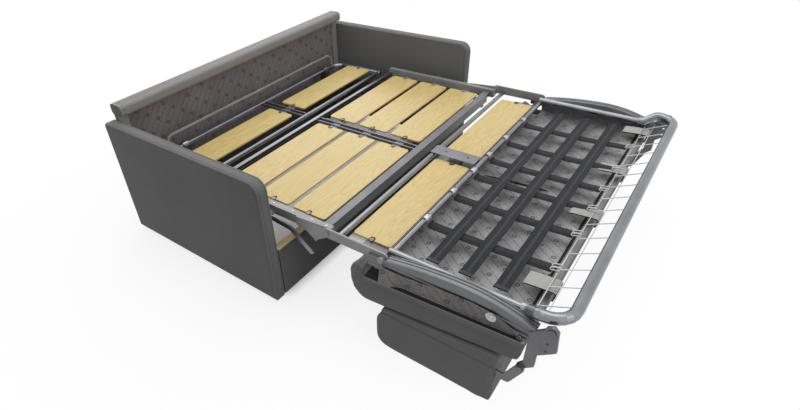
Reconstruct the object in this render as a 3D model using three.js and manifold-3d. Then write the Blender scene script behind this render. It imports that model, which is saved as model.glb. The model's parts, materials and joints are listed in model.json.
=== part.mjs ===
// Sleeper sofa with its bed pulled out, in millimetres: X to the right seen from the front, Y to the back, Z up.
// Heights start at the floor, and Y starts near the head tube; the last group moves the sofa onto its own middle.

import * as THREE from 'three';
import { mergeVertices } from 'three/addons/utils/BufferGeometryUtils.js';
import Module from 'manifold-3d';

const wasm = await Module();
wasm.setup();

// Driving dimensions

const fit = 0.3; // gap between pieces that touch
const overrun = 6; // how far a cutter runs past what it cuts

const shell = {
  width: 1724,
  armThickness: 59,
  armTop: 602,
  bottom: 20,
  front: -840,
  rear: 130,
  armCorner: 52,
  armHeel: 12,
  edgeRound: 9,
};
const halfWidth = shell.width / 2;
const armInner = halfWidth - shell.armThickness;
const shellInner = armInner - fit;

const back = { thickness: 36, top: 675, rollDepth: 82, rollHeight: 54, rollRound: 25, liningThickness: 5, liningInset: 44 };
const frontRail = { thickness: 28, top: 258, round: 8 };
const plinth = { inset: 24, board: 26 };

const timber = { board: 19.7, bottom: 60, top: 264, strip: 5.7, railDepth: 38, railTop: 190 };
const sidePlate = { height: 44, thickness: 2, overhang: 26 };
const saddle = { inset: 80, width: 30, depth: 50, strap: 5, strapFoot: 4 };

const pin = { radius: 8, clearance: 0.3, headRadius: 12, headLength: 4, spacerRadius: 14 };

// How far the inner side of each layer of the mechanism is from the inner face of the arm
const inwards = { railInner: 95, railOuter: 68, kneeBar: 58, profile: 50, lever: 47, bracket: 37, link: 33 };
const layer = {
  railInner: armInner - inwards.railInner,
  railOuter: armInner - inwards.railOuter,
  hingePlate: 6,
  kneeBar: armInner - inwards.kneeBar,
  kneeBarThickness: 7,
  profile: armInner - inwards.profile,
  profileThickness: 12,
  lever: armInner - inwards.lever,
  leverThickness: 6,
  bracket: armInner - inwards.bracket,
  bracketThickness: 6,
  link: armInner - inwards.link,
  linkThickness: 6,
};

// The turning points of the fold, as Y and Z
const pivot = {
  head: { y: 5, z: 383 },
  frontLinkRoot: { y: -632, z: 142 },
  rearLinkRoot: { y: -342, z: 142 },
  linkReach: { y: -75, z: 228 },
  lever: { y: -760, z: 380 },
  knee: { y: -1060, z: 412 },
  seat: { y: -1306, z: 412 },
  backrest: { y: -1826, z: 230 },
};

const slat = {
  top: 395,
  thickness: 8,
  inner: 46,
  railGap: 33,
  gap: 23.5,
  rearGap: 33.5,
  frontGap: 20.5,
  headGap: 42.5,
  kneeGap: 12.5,
  middleCount: 3,
  corner: 12,
  notchWidth: 26,
  notchDepth: 20,
};
const holder = { reach: 26, width: 42, thickness: 6, pegRadius: 9 };

const headTube = { radius: 12.5, slatGap: 15, reach: 337, bend: 62 };
const headFront = { radius: 11, inset: 16, z: 383 };
const pillowRail = { radius: 4.5, inset: 50, y: 20, z: 458, bend: 38 };

const rail = { bottom: 378, top: 418, rear: -386, front: -1062 };
const rearBar = { y: -400, size: 20, z: 390 };
const frontBeam = { rear: -1006, front: -1042, top: 407, flange: 6, webY: -1025, web: 4, bottom: 346 };
const spine = { barWidth: 8, spread: 15, bottom: 376, height: 15 };
const hingePlate = { rear: -900, tipY: -988, tipZ: 347, tipRound: 10, cutDepth: 40, boss: 19 };
const linkEar = { radius: 18, top: 400 };
const link = { width: 34 };
const lever = { width: 24, bendY: -882, bendZ: 366, endY: -977, endZ: 292 };

const kneeTube = { radius: 11, y: -1100, z: 400 };
const kneeBeam = { y: -1297, top: 404, bottom: 378, flange: 3, depth: 22 };
const kneePlate = { halfWidth: 35, rear: -1088, front: -1300, thickness: 3, hole: 5, holeY: -1150, holePitch: 105 };
const kneeBar = { endRadius: 21, lobeY: -1276, lobeZ: 360, lobeRadius: 12 };

const strapTube = { radius: 10, y: -1318, z: 408 };
const sideTube = { radius: 12.5, inset: 41, z: 420, rear: -1310, front: -1778 };
const footTube = { radius: 19, flare: 26, z: 448, y: -1921, bend: 72, riseY: -1841, riseBend: 24 };
const wire = { radius: 2, longY: [-1813, -1850], endGap: 19, z: 404, shorts: 15, lastInset: 35, tiltShare: 0.6 };
const longStrap = { shares: [0.11, 0.369, 0.671], width: 42, thickness: 2.4, frontZ: 396, rearZ: 384 };
const crossStrap = { y: [-1445, -1567, -1690], width: 47, thickness: 2.4, leftInset: 45, rightInset: 10 };

const profile = {
  height: 44,
  groove: 3,
  rear: -1252,
  centre: 392,
  straightEnd: -1690,
  endY: -1868,
  endZ: 374,
  shelfY: [-1400, -1580, -1740],
  shelfWidth: 34,
  shelfThickness: 3,
};
const bracket = { neckFront: -1864, cornerY: -1914, cornerZ: 346, bossY: -1888, bossZ: 430, boss: 21,
  eye: 15, holeRadius: 5, holeY: -1884, holeZ: [381, 350] };

const seat = {
  sideGap: 13,
  nose: -1175,
  noseTop: 366,
  noseDepth: 62,
  noseRound: 28,
  bottomFront: 190,
  bottomRear: 258,
  rear: -1829,
  rearRound: 16,
  topFront: 320,
  topRear: 346.7,
  liningThickness: 4,
};
const backrest = {
  sideGap: 8,
  freeEnd: -1289,
  hungEnd: -1765,
  thickness: 190,
  freeRound: 62,
  hungRound: 24,
  armWidth: 30,
  armBendY: -1792,
  armZ: 156,
  armDepth: 66,
  armThickness: 6,
};

// Half widths that follow from the sizes above
const slatOuter = layer.railInner - slat.railGap;
const headReach = slatOuter + headTube.slatGap;
const pillowReach = headReach - pillowRail.inset;
const saddleX = pillowReach - saddle.inset;
const sideTubeX = layer.profile - sideTube.inset;
const footTubeX = sideTubeX + footTube.flare;
const wireReach = footTubeX - footTube.radius - wire.endGap;
const seatReach = armInner - seat.sideGap;
const backrestReach = armInner - backrest.sideGap;

// The slats share the room between the rear bar and the front beam
const headFrontTubeY = pivot.head.y - headTube.reach + headFront.inset;
const slatStart = rearBar.y - rearBar.size / 2 - slat.rearGap;
const slatRoom = slatStart - frontBeam.rear - slat.frontGap;
const slatWidth = (slatRoom - slat.gap * (slat.middleCount - 1)) / slat.middleCount;
// Y of each slat's centreline
const slatRows = {
  head: [headFrontTubeY + headFront.radius + slat.headGap + slatWidth / 2],
  middle: Array.from({ length: slat.middleCount }, (_, i) => slatStart - slatWidth / 2 - i * (slatWidth + slat.gap)),
  knee: [kneeTube.y - kneeTube.radius - slat.kneeGap - slatWidth / 2],
};

// Colours

const fabric = new THREE.MeshStandardMaterial({ color: 0x515151, roughness: 0.85, metalness: 0 });
const liningCloth = new THREE.MeshStandardMaterial({ color: 0x66615f, roughness: 0.9, metalness: 0 });
const blackPlastic = new THREE.MeshStandardMaterial({ color: 0x121212, roughness: 0.6, metalness: 0 });
const rawTimber = new THREE.MeshStandardMaterial({ color: 0xb7a888, roughness: 0.8, metalness: 0 });
const birch = new THREE.MeshStandardMaterial({ color: 0xdcc48f, roughness: 0.5, metalness: 0 });
const paintedSteel = new THREE.MeshStandardMaterial({ color: 0x77777a, roughness: 0.35, metalness: 0.7 });
const darkSteel = new THREE.MeshStandardMaterial({ color: 0x5c5c60, roughness: 0.4, metalness: 0.7 });
const wireSteel = new THREE.MeshStandardMaterial({ color: 0xcfd0d2, roughness: 0.25, metalness: 0.9 });
const webbing = new THREE.MeshStandardMaterial({ color: 0x23252d, roughness: 0.8, metalness: 0 });

// Facets

const tubeSides = 12;
const wireSides = 6;
const arcStep = Math.PI / 12;
const cornerSegments = 2;
const holeSegments = 8;
const pegSegments = 4;

// Making and placing solids

const sofa = new THREE.Group();

function toSolid(geometry) {
  const bare = geometry.clone();
  bare.deleteAttribute('normal');
  bare.deleteAttribute('uv');
  const merged = mergeVertices(bare);
  return new wasm.Manifold(
    new wasm.Mesh({
      numProp: 3,
      vertProperties: new Float32Array(merged.attributes.position.array),
      triVerts: new Uint32Array(merged.index.array),
    }),
  );
}

function toGeometry(solid) {
  const mesh = solid.getMesh();
  const geometry = new THREE.BufferGeometry();
  geometry.setAttribute('position', new THREE.BufferAttribute(new Float32Array(mesh.vertProperties), 3));
  geometry.setIndex(new THREE.BufferAttribute(new Uint32Array(mesh.triVerts), 1));
  geometry.computeVertexNormals();
  return geometry;
}

function join(...geometries) {
  return toGeometry(geometries.map(toSolid).reduce((whole, next) => whole.add(next)));
}

function cut(geometry, ...cutters) {
  return toGeometry(cutters.map(toSolid).reduce((whole, next) => whole.subtract(next), toSolid(geometry)));
}

function add(name, geometry, material) {
  const mesh = new THREE.Mesh(geometry, material);
  mesh.name = name;
  sofa.add(mesh);
}

function block(x0, x1, y0, y1, z0, z1) {
  const geometry = new THREE.BoxGeometry(x1 - x0, y1 - y0, z1 - z0);
  return geometry.translate((x0 + x1) / 2, (y0 + y1) / 2, (z0 + z1) / 2);
}

function roundedRectangle(u0, u1, v0, v1, radius) {
  const shape = new THREE.Shape();
  shape.moveTo(u0 + radius, v0);
  shape.absarc(u1 - radius, v0 + radius, radius, -Math.PI / 2, 0);
  shape.absarc(u1 - radius, v1 - radius, radius, 0, Math.PI / 2);
  shape.absarc(u0 + radius, v1 - radius, radius, Math.PI / 2, Math.PI);
  shape.absarc(u0 + radius, v0 + radius, radius, Math.PI, Math.PI * 1.5);
  return shape;
}

function polygon(points) {
  return new THREE.Shape(points.map(([u, v]) => new THREE.Vector2(u, v)));
}

function circle(u, v, radius) {
  return new THREE.Shape().absarc(u, v, radius, 0, Math.PI * 2);
}

// A bar with round ends between two points of a plane
function slotShape(u0, v0, u1, v1, radius) {
  const turn = Math.atan2(v1 - v0, u1 - u0);
  const shape = new THREE.Shape();
  shape.absarc(u1, v1, radius, turn - Math.PI / 2, turn + Math.PI / 2);
  shape.absarc(u0, v0, radius, turn + Math.PI / 2, turn + Math.PI * 1.5);
  return shape;
}

const axisX = new THREE.Vector3(1, 0, 0);
const axisY = new THREE.Vector3(0, 1, 0);
const axisZ = new THREE.Vector3(0, 0, 1);
const acrossX = new THREE.Matrix4().makeBasis(axisY, axisZ, axisX);
const acrossY = new THREE.Matrix4().makeBasis(axisX, axisZ, axisY.clone().negate());

// A Y and Z outline made as thick as x0 to x1
function alongX(shape, x0, x1, curveSegments = cornerSegments) {
  const geometry = new THREE.ExtrudeGeometry(shape, { depth: x1 - x0, bevelEnabled: false, curveSegments });
  return geometry.applyMatrix4(acrossX).translate(x0, 0, 0);
}

// The same outline on one side of the sofa, between two distances from its middle
function onSide(sign, shape, inner, outer, curveSegments) {
  const [x0, x1] = sign > 0 ? [inner, outer] : [-outer, -inner];
  return alongX(shape, x0, x1, curveSegments);
}

function alongY(shape, y0, y1, curveSegments = cornerSegments) {
  const geometry = new THREE.ExtrudeGeometry(shape, { depth: y1 - y0, bevelEnabled: false, curveSegments });
  return geometry.applyMatrix4(acrossY).translate(0, y1, 0);
}

function alongZ(shape, z0, z1, curveSegments = cornerSegments) {
  const geometry = new THREE.ExtrudeGeometry(shape, { depth: z1 - z0, bevelEnabled: false, curveSegments });
  return geometry.translate(0, 0, z0);
}

function disc(sign, { y, z }, radius, inner, outer) {
  return onSide(sign, circle(y, z, radius), inner, outer, holeSegments);
}

// A pin fused with the piece on its inner side: spacer, shank through the outer piece, and rivet head
function pinOutwards(sign, at, from, holeInner, holeOuter) {
  const headStart = holeOuter + fit;
  return join(
    disc(sign, at, pin.spacerRadius, from, holeInner - fit),
    disc(sign, at, pin.radius, from, headStart + pin.headLength / 2),
    disc(sign, at, pin.headRadius, headStart, headStart + pin.headLength),
  );
}

function pinHole(sign, at, inner, outer) {
  return disc(sign, at, pin.radius + pin.clearance, inner - overrun, outer + overrun);
}

// A path through given points, one section at each of them
class BentPath extends THREE.Curve {
  constructor(points) {
    super();
    this.points = points;
  }

  getPoint(t) {
    return this.points[Math.round(t * (this.points.length - 1))].clone();
  }

  getPointAt(u) {
    return this.getPoint(u);
  }

  getTangentAt(u) {
    const last = this.points.length - 1;
    const here = Math.round(u * last);
    const before = this.points[Math.max(here - 1, 0)];
    const after = this.points[Math.min(here + 1, last)];
    return after.clone().sub(before).normalize();
  }
}

// Straight runs between corners, with an arc of the given radius at each corner
function bentPoints(corners, radii) {
  const points = [corners[0]];
  for (let i = 1; i < corners.length - 1; i += 1) {
    const inward = corners[i - 1].clone().sub(corners[i]).normalize();
    const outward = corners[i + 1].clone().sub(corners[i]).normalize();
    const turn = Math.PI - inward.angleTo(outward);
    const radius = radii[i - 1];
    const reach = radius * Math.tan(turn / 2);
    const bisector = inward.clone().add(outward).normalize();
    const centre = corners[i].clone().addScaledVector(bisector, radius / Math.cos(turn / 2));
    const start = corners[i].clone().addScaledVector(inward, reach).sub(centre);
    const end = corners[i].clone().addScaledVector(outward, reach).sub(centre);
    const axis = start.clone().cross(end).normalize();
    const steps = Math.max(2, Math.ceil(turn / arcStep));
    for (let k = 0; k <= steps; k += 1) {
      points.push(start.clone().applyAxisAngle(axis, (turn * k) / steps).add(centre));
    }
  }
  points.push(corners[corners.length - 1]);
  return points;
}

function sweep(points, section, curveSegments) {
  return new THREE.ExtrudeGeometry(section, {
    steps: points.length - 1,
    extrudePath: new BentPath(points),
    bevelEnabled: false,
    curveSegments,
  });
}

function tube(corners, radii, radius, sides = tubeSides) {
  return sweep(bentPoints(corners, radii), circle(0, 0, radius), sides / 2);
}

function straightTube(from, to, radius, sides = tubeSides) {
  return tube([from, to], [], radius, sides);
}

const vector = (x, y, z) => new THREE.Vector3(x, y, z);
const sides = [
  { word: 'left', sign: -1 },
  { word: 'right', sign: 1 },
];
const slatBottom = slat.top - slat.thickness;

// Upholstered body

function makeArm(sign) {
  const inset = shell.edgeRound;
  const corner = shell.armCorner - inset;
  const heel = shell.armHeel;
  const front = shell.front + inset;
  const rear = shell.rear - inset;
  const top = shell.armTop - inset;
  const bottom = shell.bottom + inset;
  const shape = new THREE.Shape();
  shape.moveTo(front, bottom);
  shape.lineTo(rear, bottom);
  shape.absarc(rear - heel, top - heel, heel, 0, Math.PI / 2);
  shape.absarc(front + corner, top - corner, corner, Math.PI / 2, Math.PI);
  const geometry = new THREE.ExtrudeGeometry(shape, {
    depth: shell.armThickness - inset * 2,
    bevelEnabled: true,
    bevelSize: inset,
    bevelThickness: inset,
    bevelSegments: cornerSegments,
    curveSegments: cornerSegments,
  });
  const start = sign > 0 ? armInner : -halfWidth;
  return geometry.applyMatrix4(acrossX).translate(start + inset, 0, 0);
}

function makeBackPanel() {
  const face = shell.rear - back.thickness;
  const rollBottom = back.top - back.rollHeight;
  const panel = block(-shellInner, shellInner, face, shell.rear, shell.bottom, back.top - back.rollHeight / 2);
  const rollOutline = roundedRectangle(shell.rear - back.rollDepth, shell.rear, rollBottom, back.top, back.rollRound);
  return join(panel, alongX(rollOutline, -shellInner, shellInner));
}

function makeBackLining() {
  const rear = shell.rear - back.thickness - fit;
  const reach = shellInner - back.liningInset;
  return block(-reach, reach, rear - back.liningThickness, rear, timber.bottom, back.top - back.rollHeight - fit);
}

function makeFrontRail() {
  const outline = roundedRectangle(
    shell.front, shell.front + frontRail.thickness, shell.bottom, frontRail.top, frontRail.round);
  return alongX(outline, -shellInner, shellInner);
}

function makePlinth() {
  const outerX = halfWidth - plinth.inset;
  const front = shell.front + plinth.inset;
  const rear = shell.rear - plinth.inset;
  const innerX = outerX - plinth.board;
  const top = shell.bottom - fit;
  const ring = block(-outerX, outerX, front, rear, 0, top);
  const hollow = block(-innerX, innerX, front + plinth.board, rear - plinth.board, -overrun, top + overrun);
  return cut(ring, hollow);
}

function makeBaseFrame() {
  const railBack = shell.front + frontRail.thickness + fit;
  const boardInner = shellInner - timber.board;
  const liningFront = shell.rear - back.thickness - back.liningThickness - fit * 2;
  const parts = [];
  for (const { sign } of sides) {
    const board = [sign > 0 ? boardInner : -shellInner, sign > 0 ? shellInner : -boardInner];
    parts.push(block(...board, railBack, liningFront, timber.bottom, timber.top));
  }
  const stripRear = railBack + overrun;
  parts.push(block(-shellInner, shellInner, shell.front + fit, stripRear, frontRail.top + fit, frontRail.top + timber.strip));
  const railFront = liningFront - timber.railDepth;
  parts.push(block(-shellInner, shellInner, railFront, liningFront, timber.bottom, timber.railTop));
  for (const { sign } of sides) {
    const x = sign * saddleX;
    const post = block(x - saddle.width / 2, x + saddle.width / 2, pivot.head.y - saddle.depth / 2,
      pivot.head.y + saddle.depth / 2, timber.bottom, pivot.head.z);
    const foot = block(x - saddle.width / 2, x + saddle.width / 2, pivot.head.y, liningFront, timber.bottom,
      timber.railTop);
    const notch = alongX(circle(pivot.head.y, pivot.head.z, headTube.radius + fit), x - saddle.width, x + saddle.width,
      holeSegments);
    parts.push(cut(post, notch), foot);
  }
  return join(...parts);
}

// The steel strip on the side board that carries the lower pins of both links
function makeSidePlate(sign) {
  const outer = shellInner - timber.board - fit;
  const inner = outer - sidePlate.thickness;
  const { frontLinkRoot: front, rearLinkRoot: rear } = pivot;
  const half = sidePlate.height / 2;
  const strip = onSide(sign, slotShape(front.y - sidePlate.overhang, front.z, rear.y + sidePlate.overhang, rear.z, half),
    inner, outer);
  const pins = [front, rear].flatMap((root) => {
    const linkOuter = layer.link + layer.linkThickness;
    const headInner = layer.link - fit - pin.headLength;
    return [
      disc(sign, root, pin.spacerRadius, linkOuter + fit, outer),
      disc(sign, root, pin.radius, headInner + pin.headLength / 2, outer),
      disc(sign, root, pin.headRadius, headInner, layer.link - fit),
    ];
  });
  return join(strip, ...pins);
}

function makeHeadClamp(sign) {
  const x = sign * saddleX;
  const { y, z } = pivot.head;
  const bore = headTube.radius + fit;
  const arch = circle(y, z, bore + saddle.strap);
  const x0 = x - saddle.width / 2;
  const x1 = x + saddle.width / 2;
  const feet = block(x0, x1, y - saddle.depth / 2, y + saddle.depth / 2, z, z + saddle.strapFoot);
  const whole = join(alongX(arch, x0, x1, holeSegments), feet);
  const hole = alongX(circle(y, z, bore), x0 - overrun, x1 + overrun, holeSegments);
  const below = block(x0 - overrun, x1 + overrun, y - saddle.depth, y + saddle.depth, z - saddle.depth, z + fit);
  return cut(whole, hole, below);
}

// Slats and their holders

function makeSlat(sign, y) {
  const x0 = sign > 0 ? slat.inner : -slatOuter;
  const x1 = sign > 0 ? slatOuter : -slat.inner;
  const half = slatWidth / 2;
  const board = alongZ(roundedRectangle(x0, x1, y - half, y + half, slat.corner), slatBottom, slat.top);
  const notch = (end, inward) =>
    alongZ(slotShape(end - inward * overrun, y, end + inward * (slat.notchDepth - slat.notchWidth / 2), y,
      slat.notchWidth / 2), slatBottom - overrun, slat.top + overrun);
  return cut(board, notch(x0, 1), notch(x1, -1));
}

// A tongue under the end of a slat, and the peg that stands in the slat's notch
function makeHolder(end, inward, root, y) {
  const tip = end + inward * holder.reach;
  const x0 = Math.min(root, tip);
  const x1 = Math.max(root, tip);
  const half = holder.width / 2;
  const tongueTop = slatBottom - fit;
  const tongue = block(x0, x1, y - half, y + half, tongueTop - holder.thickness, tongueTop);
  const peg = alongZ(circle(end + inward * holder.pegRadius / 3, y, holder.pegRadius), tongueTop - holder.thickness / 2,
    slat.top, pegSegments);
  return [tongue, peg];
}

function sideHolders(sign, rows, root) {
  return rows.flatMap((y) => makeHolder(sign * slatOuter, -sign, sign * root, y));
}

function spineHolders(rows) {
  return rows.flatMap((y) => [
    ...makeHolder(slat.inner, 1, 0, y),
    ...makeHolder(-slat.inner, -1, 0, y),
  ]);
}

function makeSpine(y0, y1, rows, bottom = spine.bottom) {
  const bars = sides.map(({ sign }) => {
    const x = sign * spine.spread;
    return block(x - spine.barWidth / 2, x + spine.barWidth / 2, y0, y1, bottom, bottom + spine.height);
  });
  return join(...bars, ...spineHolders(rows));
}

// Head section

function makeHeadTube() {
  const { y, z } = pivot.head;
  const bent = tube(
    [
      vector(-headReach, y - headTube.reach, z),
      vector(-headReach, y, z),
      vector(headReach, y, z),
      vector(headReach, y - headTube.reach, z),
    ],
    [headTube.bend, headTube.bend],
    headTube.radius,
  );
  const holders = sides.flatMap(({ sign }) => sideHolders(sign, slatRows.head, headReach));
  const front = straightTube(vector(-headReach, headFrontTubeY, headFront.z),
    vector(headReach, headFrontTubeY, headFront.z), headFront.radius);
  return join(bent, front, ...holders);
}

function makePillowRail() {
  const foot = pivot.head.z + headTube.radius + fit;
  return tube(
    [
      vector(-pillowReach, pivot.head.y, foot),
      vector(-pillowReach, pillowRail.y, pillowRail.z),
      vector(pillowReach, pillowRail.y, pillowRail.z),
      vector(pillowReach, pivot.head.y, foot),
    ],
    [pillowRail.bend, pillowRail.bend],
    pillowRail.radius,
    tubeSides * 2 / 3,
  );
}

// Middle section

function makeHingePlateOutline() {
  const { y, z } = pivot.knee;
  const shape = new THREE.Shape();
  shape.moveTo(hingePlate.rear, rail.bottom);
  shape.quadraticCurveTo(hingePlate.tipY + hingePlate.cutDepth, rail.bottom, hingePlate.tipY + hingePlate.tipRound,
    hingePlate.tipZ);
  shape.absarc(hingePlate.tipY, hingePlate.tipZ, hingePlate.tipRound, 0, -Math.PI, true);
  shape.lineTo(y - hingePlate.boss / 2, z - hingePlate.boss);
  shape.absarc(y, z, hingePlate.boss, -Math.PI * 0.7, -Math.PI * 1.5, true);
  shape.lineTo(hingePlate.rear, rail.top);
  return shape;
}

function linkEnd(root) {
  return { y: root.y + pivot.linkReach.y, z: root.z + pivot.linkReach.z };
}

function makeRail(sign) {
  const plateOuter = layer.railOuter + layer.hingePlate;
  const parts = [
    onSide(sign, roundedRectangle(rail.front, rail.rear, rail.bottom, rail.top, fit * 10), layer.railInner,
      layer.railOuter),
    onSide(sign, makeHingePlateOutline(), layer.railOuter - fit, plateOuter),
    pinOutwards(sign, pivot.knee, plateOuter - fit, layer.kneeBar, layer.kneeBar + layer.kneeBarThickness),
    pinOutwards(sign, pivot.lever, layer.railOuter - fit, layer.lever, layer.lever + layer.leverThickness),
    ...sideHolders(sign, slatRows.middle, layer.railInner + overrun),
  ];
  for (const root of [pivot.frontLinkRoot, pivot.rearLinkRoot]) {
    const at = linkEnd(root);
    const ear = slotShape(at.y, at.z, at.y, linkEar.top, linkEar.radius);
    parts.push(onSide(sign, ear, layer.railOuter - fit, plateOuter));
    parts.push(pinOutwards(sign, at, plateOuter - fit, layer.link, layer.link + layer.linkThickness));
  }
  return join(...parts);
}

function makeRearBar() {
  const reach = layer.railInner - fit;
  const half = rearBar.size / 2;
  return alongX(roundedRectangle(rearBar.y - half, rearBar.y + half, rearBar.z - half, rearBar.z + half, half / 4),
    -reach, reach, 1);
}

function makeFrontBeam() {
  const reach = layer.railInner - fit;
  const { rear, front, top, flange, webY, web, bottom } = frontBeam;
  const outline = polygon([
    [front, top - flange],
    [webY - web / 2, top - flange],
    [webY - web / 2, bottom],
    [webY + web / 2, bottom],
    [webY + web / 2, top - flange],
    [rear, top - flange],
    [rear, top],
    [front, top],
  ]);
  return alongX(outline, -reach, reach);
}

function makeLink(sign, root) {
  const end = linkEnd(root);
  const outer = layer.link + layer.linkThickness;
  const bar = onSide(sign, slotShape(root.y, root.z, end.y, end.z, link.width / 2), layer.link, outer, holeSegments / 2);
  return cut(bar, pinHole(sign, root, layer.link, outer), pinHole(sign, end, layer.link, outer));
}

function makeLever(sign) {
  const half = lever.width / 2;
  const outer = layer.lever + layer.leverThickness;
  const { y, z } = pivot.lever;
  const rearArm = onSide(sign, slotShape(y, z, lever.bendY, lever.bendZ, half), layer.lever, outer, cornerSegments * 2);
  const frontArm = onSide(sign, slotShape(lever.bendY, lever.bendZ, lever.endY, lever.endZ, half), layer.lever, outer,
    cornerSegments * 2);
  return cut(join(rearArm, frontArm), pinHole(sign, pivot.lever, layer.lever, outer));
}

// Knee section

function makeKneeBar(sign) {
  const outer = layer.kneeBar + layer.kneeBarThickness;
  const { knee, seat: hinge } = pivot;
  const bar = onSide(sign, slotShape(knee.y, knee.z, hinge.y, hinge.z, kneeBar.endRadius), layer.kneeBar, outer,
    cornerSegments * 2);
  const lobe = onSide(sign, slotShape(hinge.y, hinge.z, kneeBar.lobeY, kneeBar.lobeZ, kneeBar.lobeRadius), layer.kneeBar,
    outer, cornerSegments * 2);
  const eye = pinHole(sign, knee, layer.kneeBar, outer);
  const profileOuter = layer.profile + layer.profileThickness;
  return join(cut(join(bar, lobe), eye), pinOutwards(sign, hinge, outer - fit, layer.profile, profileOuter));
}

function makeKneeTube() {
  const reach = layer.kneeBar - fit;
  const bar = straightTube(vector(-reach, kneeTube.y, kneeTube.z), vector(reach, kneeTube.y, kneeTube.z),
    kneeTube.radius);
  return join(bar, makeKneePlate());
}

function makeKneeBeam() {
  const reach = layer.kneeBar - fit;
  const { y, top, bottom, flange, depth } = kneeBeam;
  const outline = polygon([
    [y - flange, bottom],
    [y + depth, bottom],
    [y + depth, bottom + flange],
    [y, bottom + flange],
    [y, top],
    [y - flange, top],
  ]);
  const holders = sides.flatMap(({ sign }) =>
    slatRows.knee.flatMap((row) => makeHolder(sign * slatOuter, -sign, sign * (slatOuter + holder.reach), row)));
  const arms = sides.flatMap(({ sign }) => {
    const x = sign * (slatOuter + holder.reach);
    return slatRows.knee.map((row) =>
      block(Math.min(x, x - sign * holder.reach), Math.max(x, x - sign * holder.reach), y, row, bottom, bottom + flange * 3));
  });
  const middle = slatRows.knee.flatMap((row) => [
    block(-kneePlate.halfWidth, kneePlate.halfWidth, y, row + holder.width, bottom, bottom + flange),
    block(-spine.spread, spine.spread, row - holder.width / 2, row + holder.width / 2, bottom, slatBottom - fit),
    ...makeHolder(slat.inner, 1, 0, row),
    ...makeHolder(-slat.inner, -1, 0, row),
  ]);
  return join(alongX(outline, -reach, reach), ...holders, ...arms, ...middle);
}

function makeKneePlate() {
  const bottom = kneeTube.z + kneeTube.radius - fit;
  const outline = roundedRectangle(-kneePlate.halfWidth, kneePlate.halfWidth, kneePlate.front, kneePlate.rear,
    kneePlate.hole);
  const holes = [0, 1].map((i) =>
    alongZ(circle(0, kneePlate.holeY - i * kneePlate.holePitch, kneePlate.hole), bottom - overrun,
      bottom + kneePlate.thickness + overrun, holeSegments / 2));
  return cut(alongZ(outline, bottom, bottom + kneePlate.thickness), ...holes);
}

// Foot section

function makeStrapTube() {
  const reach = sideTubeX - sideTube.radius - fit;
  return straightTube(vector(-reach, strapTube.y, strapTube.z), vector(reach, strapTube.y, strapTube.z),
    strapTube.radius);
}

function makeSideTube(sign) {
  const x = sign * sideTubeX;
  return straightTube(vector(x, sideTube.rear, sideTube.z), vector(x, sideTube.front, sideTube.z), sideTube.radius);
}

function makeFootTube() {
  const start = sideTube.front - fit;
  const { y, z, riseY, bend, riseBend, radius } = footTube;
  const x = footTubeX;
  return tube(
    [
      vector(-sideTubeX, start, sideTube.z),
      vector(-sideTubeX, start - radius, sideTube.z),
      vector(-x, riseY, z),
      vector(-x, y, z),
      vector(x, y, z),
      vector(x, riseY, z),
      vector(sideTubeX, start - radius, sideTube.z),
      vector(sideTubeX, start, sideTube.z),
    ],
    [riseBend, riseBend, bend, bend, riseBend, riseBend],
    radius,
    tubeSides + 4,
  );
}

function makeWireGrid() {
  const tubeInner = footTube.y + footTube.radius + wire.radius * wire.tiltShare;
  const rise = (y) => wire.z + ((wire.longY[0] - y) / (wire.longY[0] - tubeInner)) * (footTube.z - wire.z);
  const longs = wire.longY.map((y) =>
    straightTube(vector(-wireReach, y, rise(y)), vector(wireReach, y, rise(y)), wire.radius, wireSides));
  const lastShort = wireReach - wire.lastInset;
  const shorts = Array.from({ length: wire.shorts }, (_, i) => {
    const x = -lastShort + (i * lastShort * 2) / (wire.shorts - 1);
    return straightTube(vector(x, wire.longY[0] + wire.radius, rise(wire.longY[0])), vector(x, tubeInner, footTube.z),
      wire.radius, wireSides);
  });
  return join(...longs, ...shorts);
}

const strapRear = strapTube.y - strapTube.radius - fit;
const strapFront = wire.longY[0] + wire.radius + fit;
const strapSlope = (longStrap.frontZ - longStrap.rearZ) / (strapFront - strapRear);
const strapTopAt = (y) => longStrap.rearZ + longStrap.thickness + (y - strapRear) * strapSlope;

// The strap turns up at both ends, where it hooks to the strap tube and to the wire
function makeLongStrap(x) {
  const { thickness, rearZ, frontZ } = longStrap;
  const outline = polygon([
    [strapFront, frontZ],
    [strapRear, rearZ],
    [strapRear, strapTube.z],
    [strapRear - thickness, strapTube.z],
    [strapRear - thickness, rearZ + thickness],
    [strapFront + thickness, frontZ + thickness],
    [strapFront + thickness, wire.z],
    [strapFront, wire.z],
  ]);
  return alongX(outline, x - longStrap.width / 2, x + longStrap.width / 2);
}

function makeCrossStrap(y) {
  const half = crossStrap.width / 2;
  const bottom = (edge) => strapTopAt(edge) + fit;
  const outline = polygon([
    [y - half, bottom(y - half)],
    [y + half, bottom(y + half)],
    [y + half, bottom(y + half) + crossStrap.thickness],
    [y - half, bottom(y - half) + crossStrap.thickness],
  ]);
  return alongX(outline, crossStrap.leftInset - wireReach, wireReach - crossStrap.rightInset);
}

// The pressed channel: its outer face carries two grooves, and it bows down towards the foot
function makeProfileSection(sign) {
  const half = profile.height / 2;
  const outer = sign * layer.profileThickness / 2;
  const inner = -outer;
  const grooved = outer - sign * profile.groove;
  const bandShares = [-1, -0.78, -0.66, -0.3, -0.18, 0.18, 0.3, 0.66, 0.78, 1];
  const raised = [true, true, false, false, true, true, false, false, true, true];
  const face = bandShares.map((share, i) => [raised[i] ? outer : grooved, share * half]);
  const points = [[inner, -half], ...face, [inner, half]];
  return sign > 0 ? points : points.reverse();
}

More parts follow.
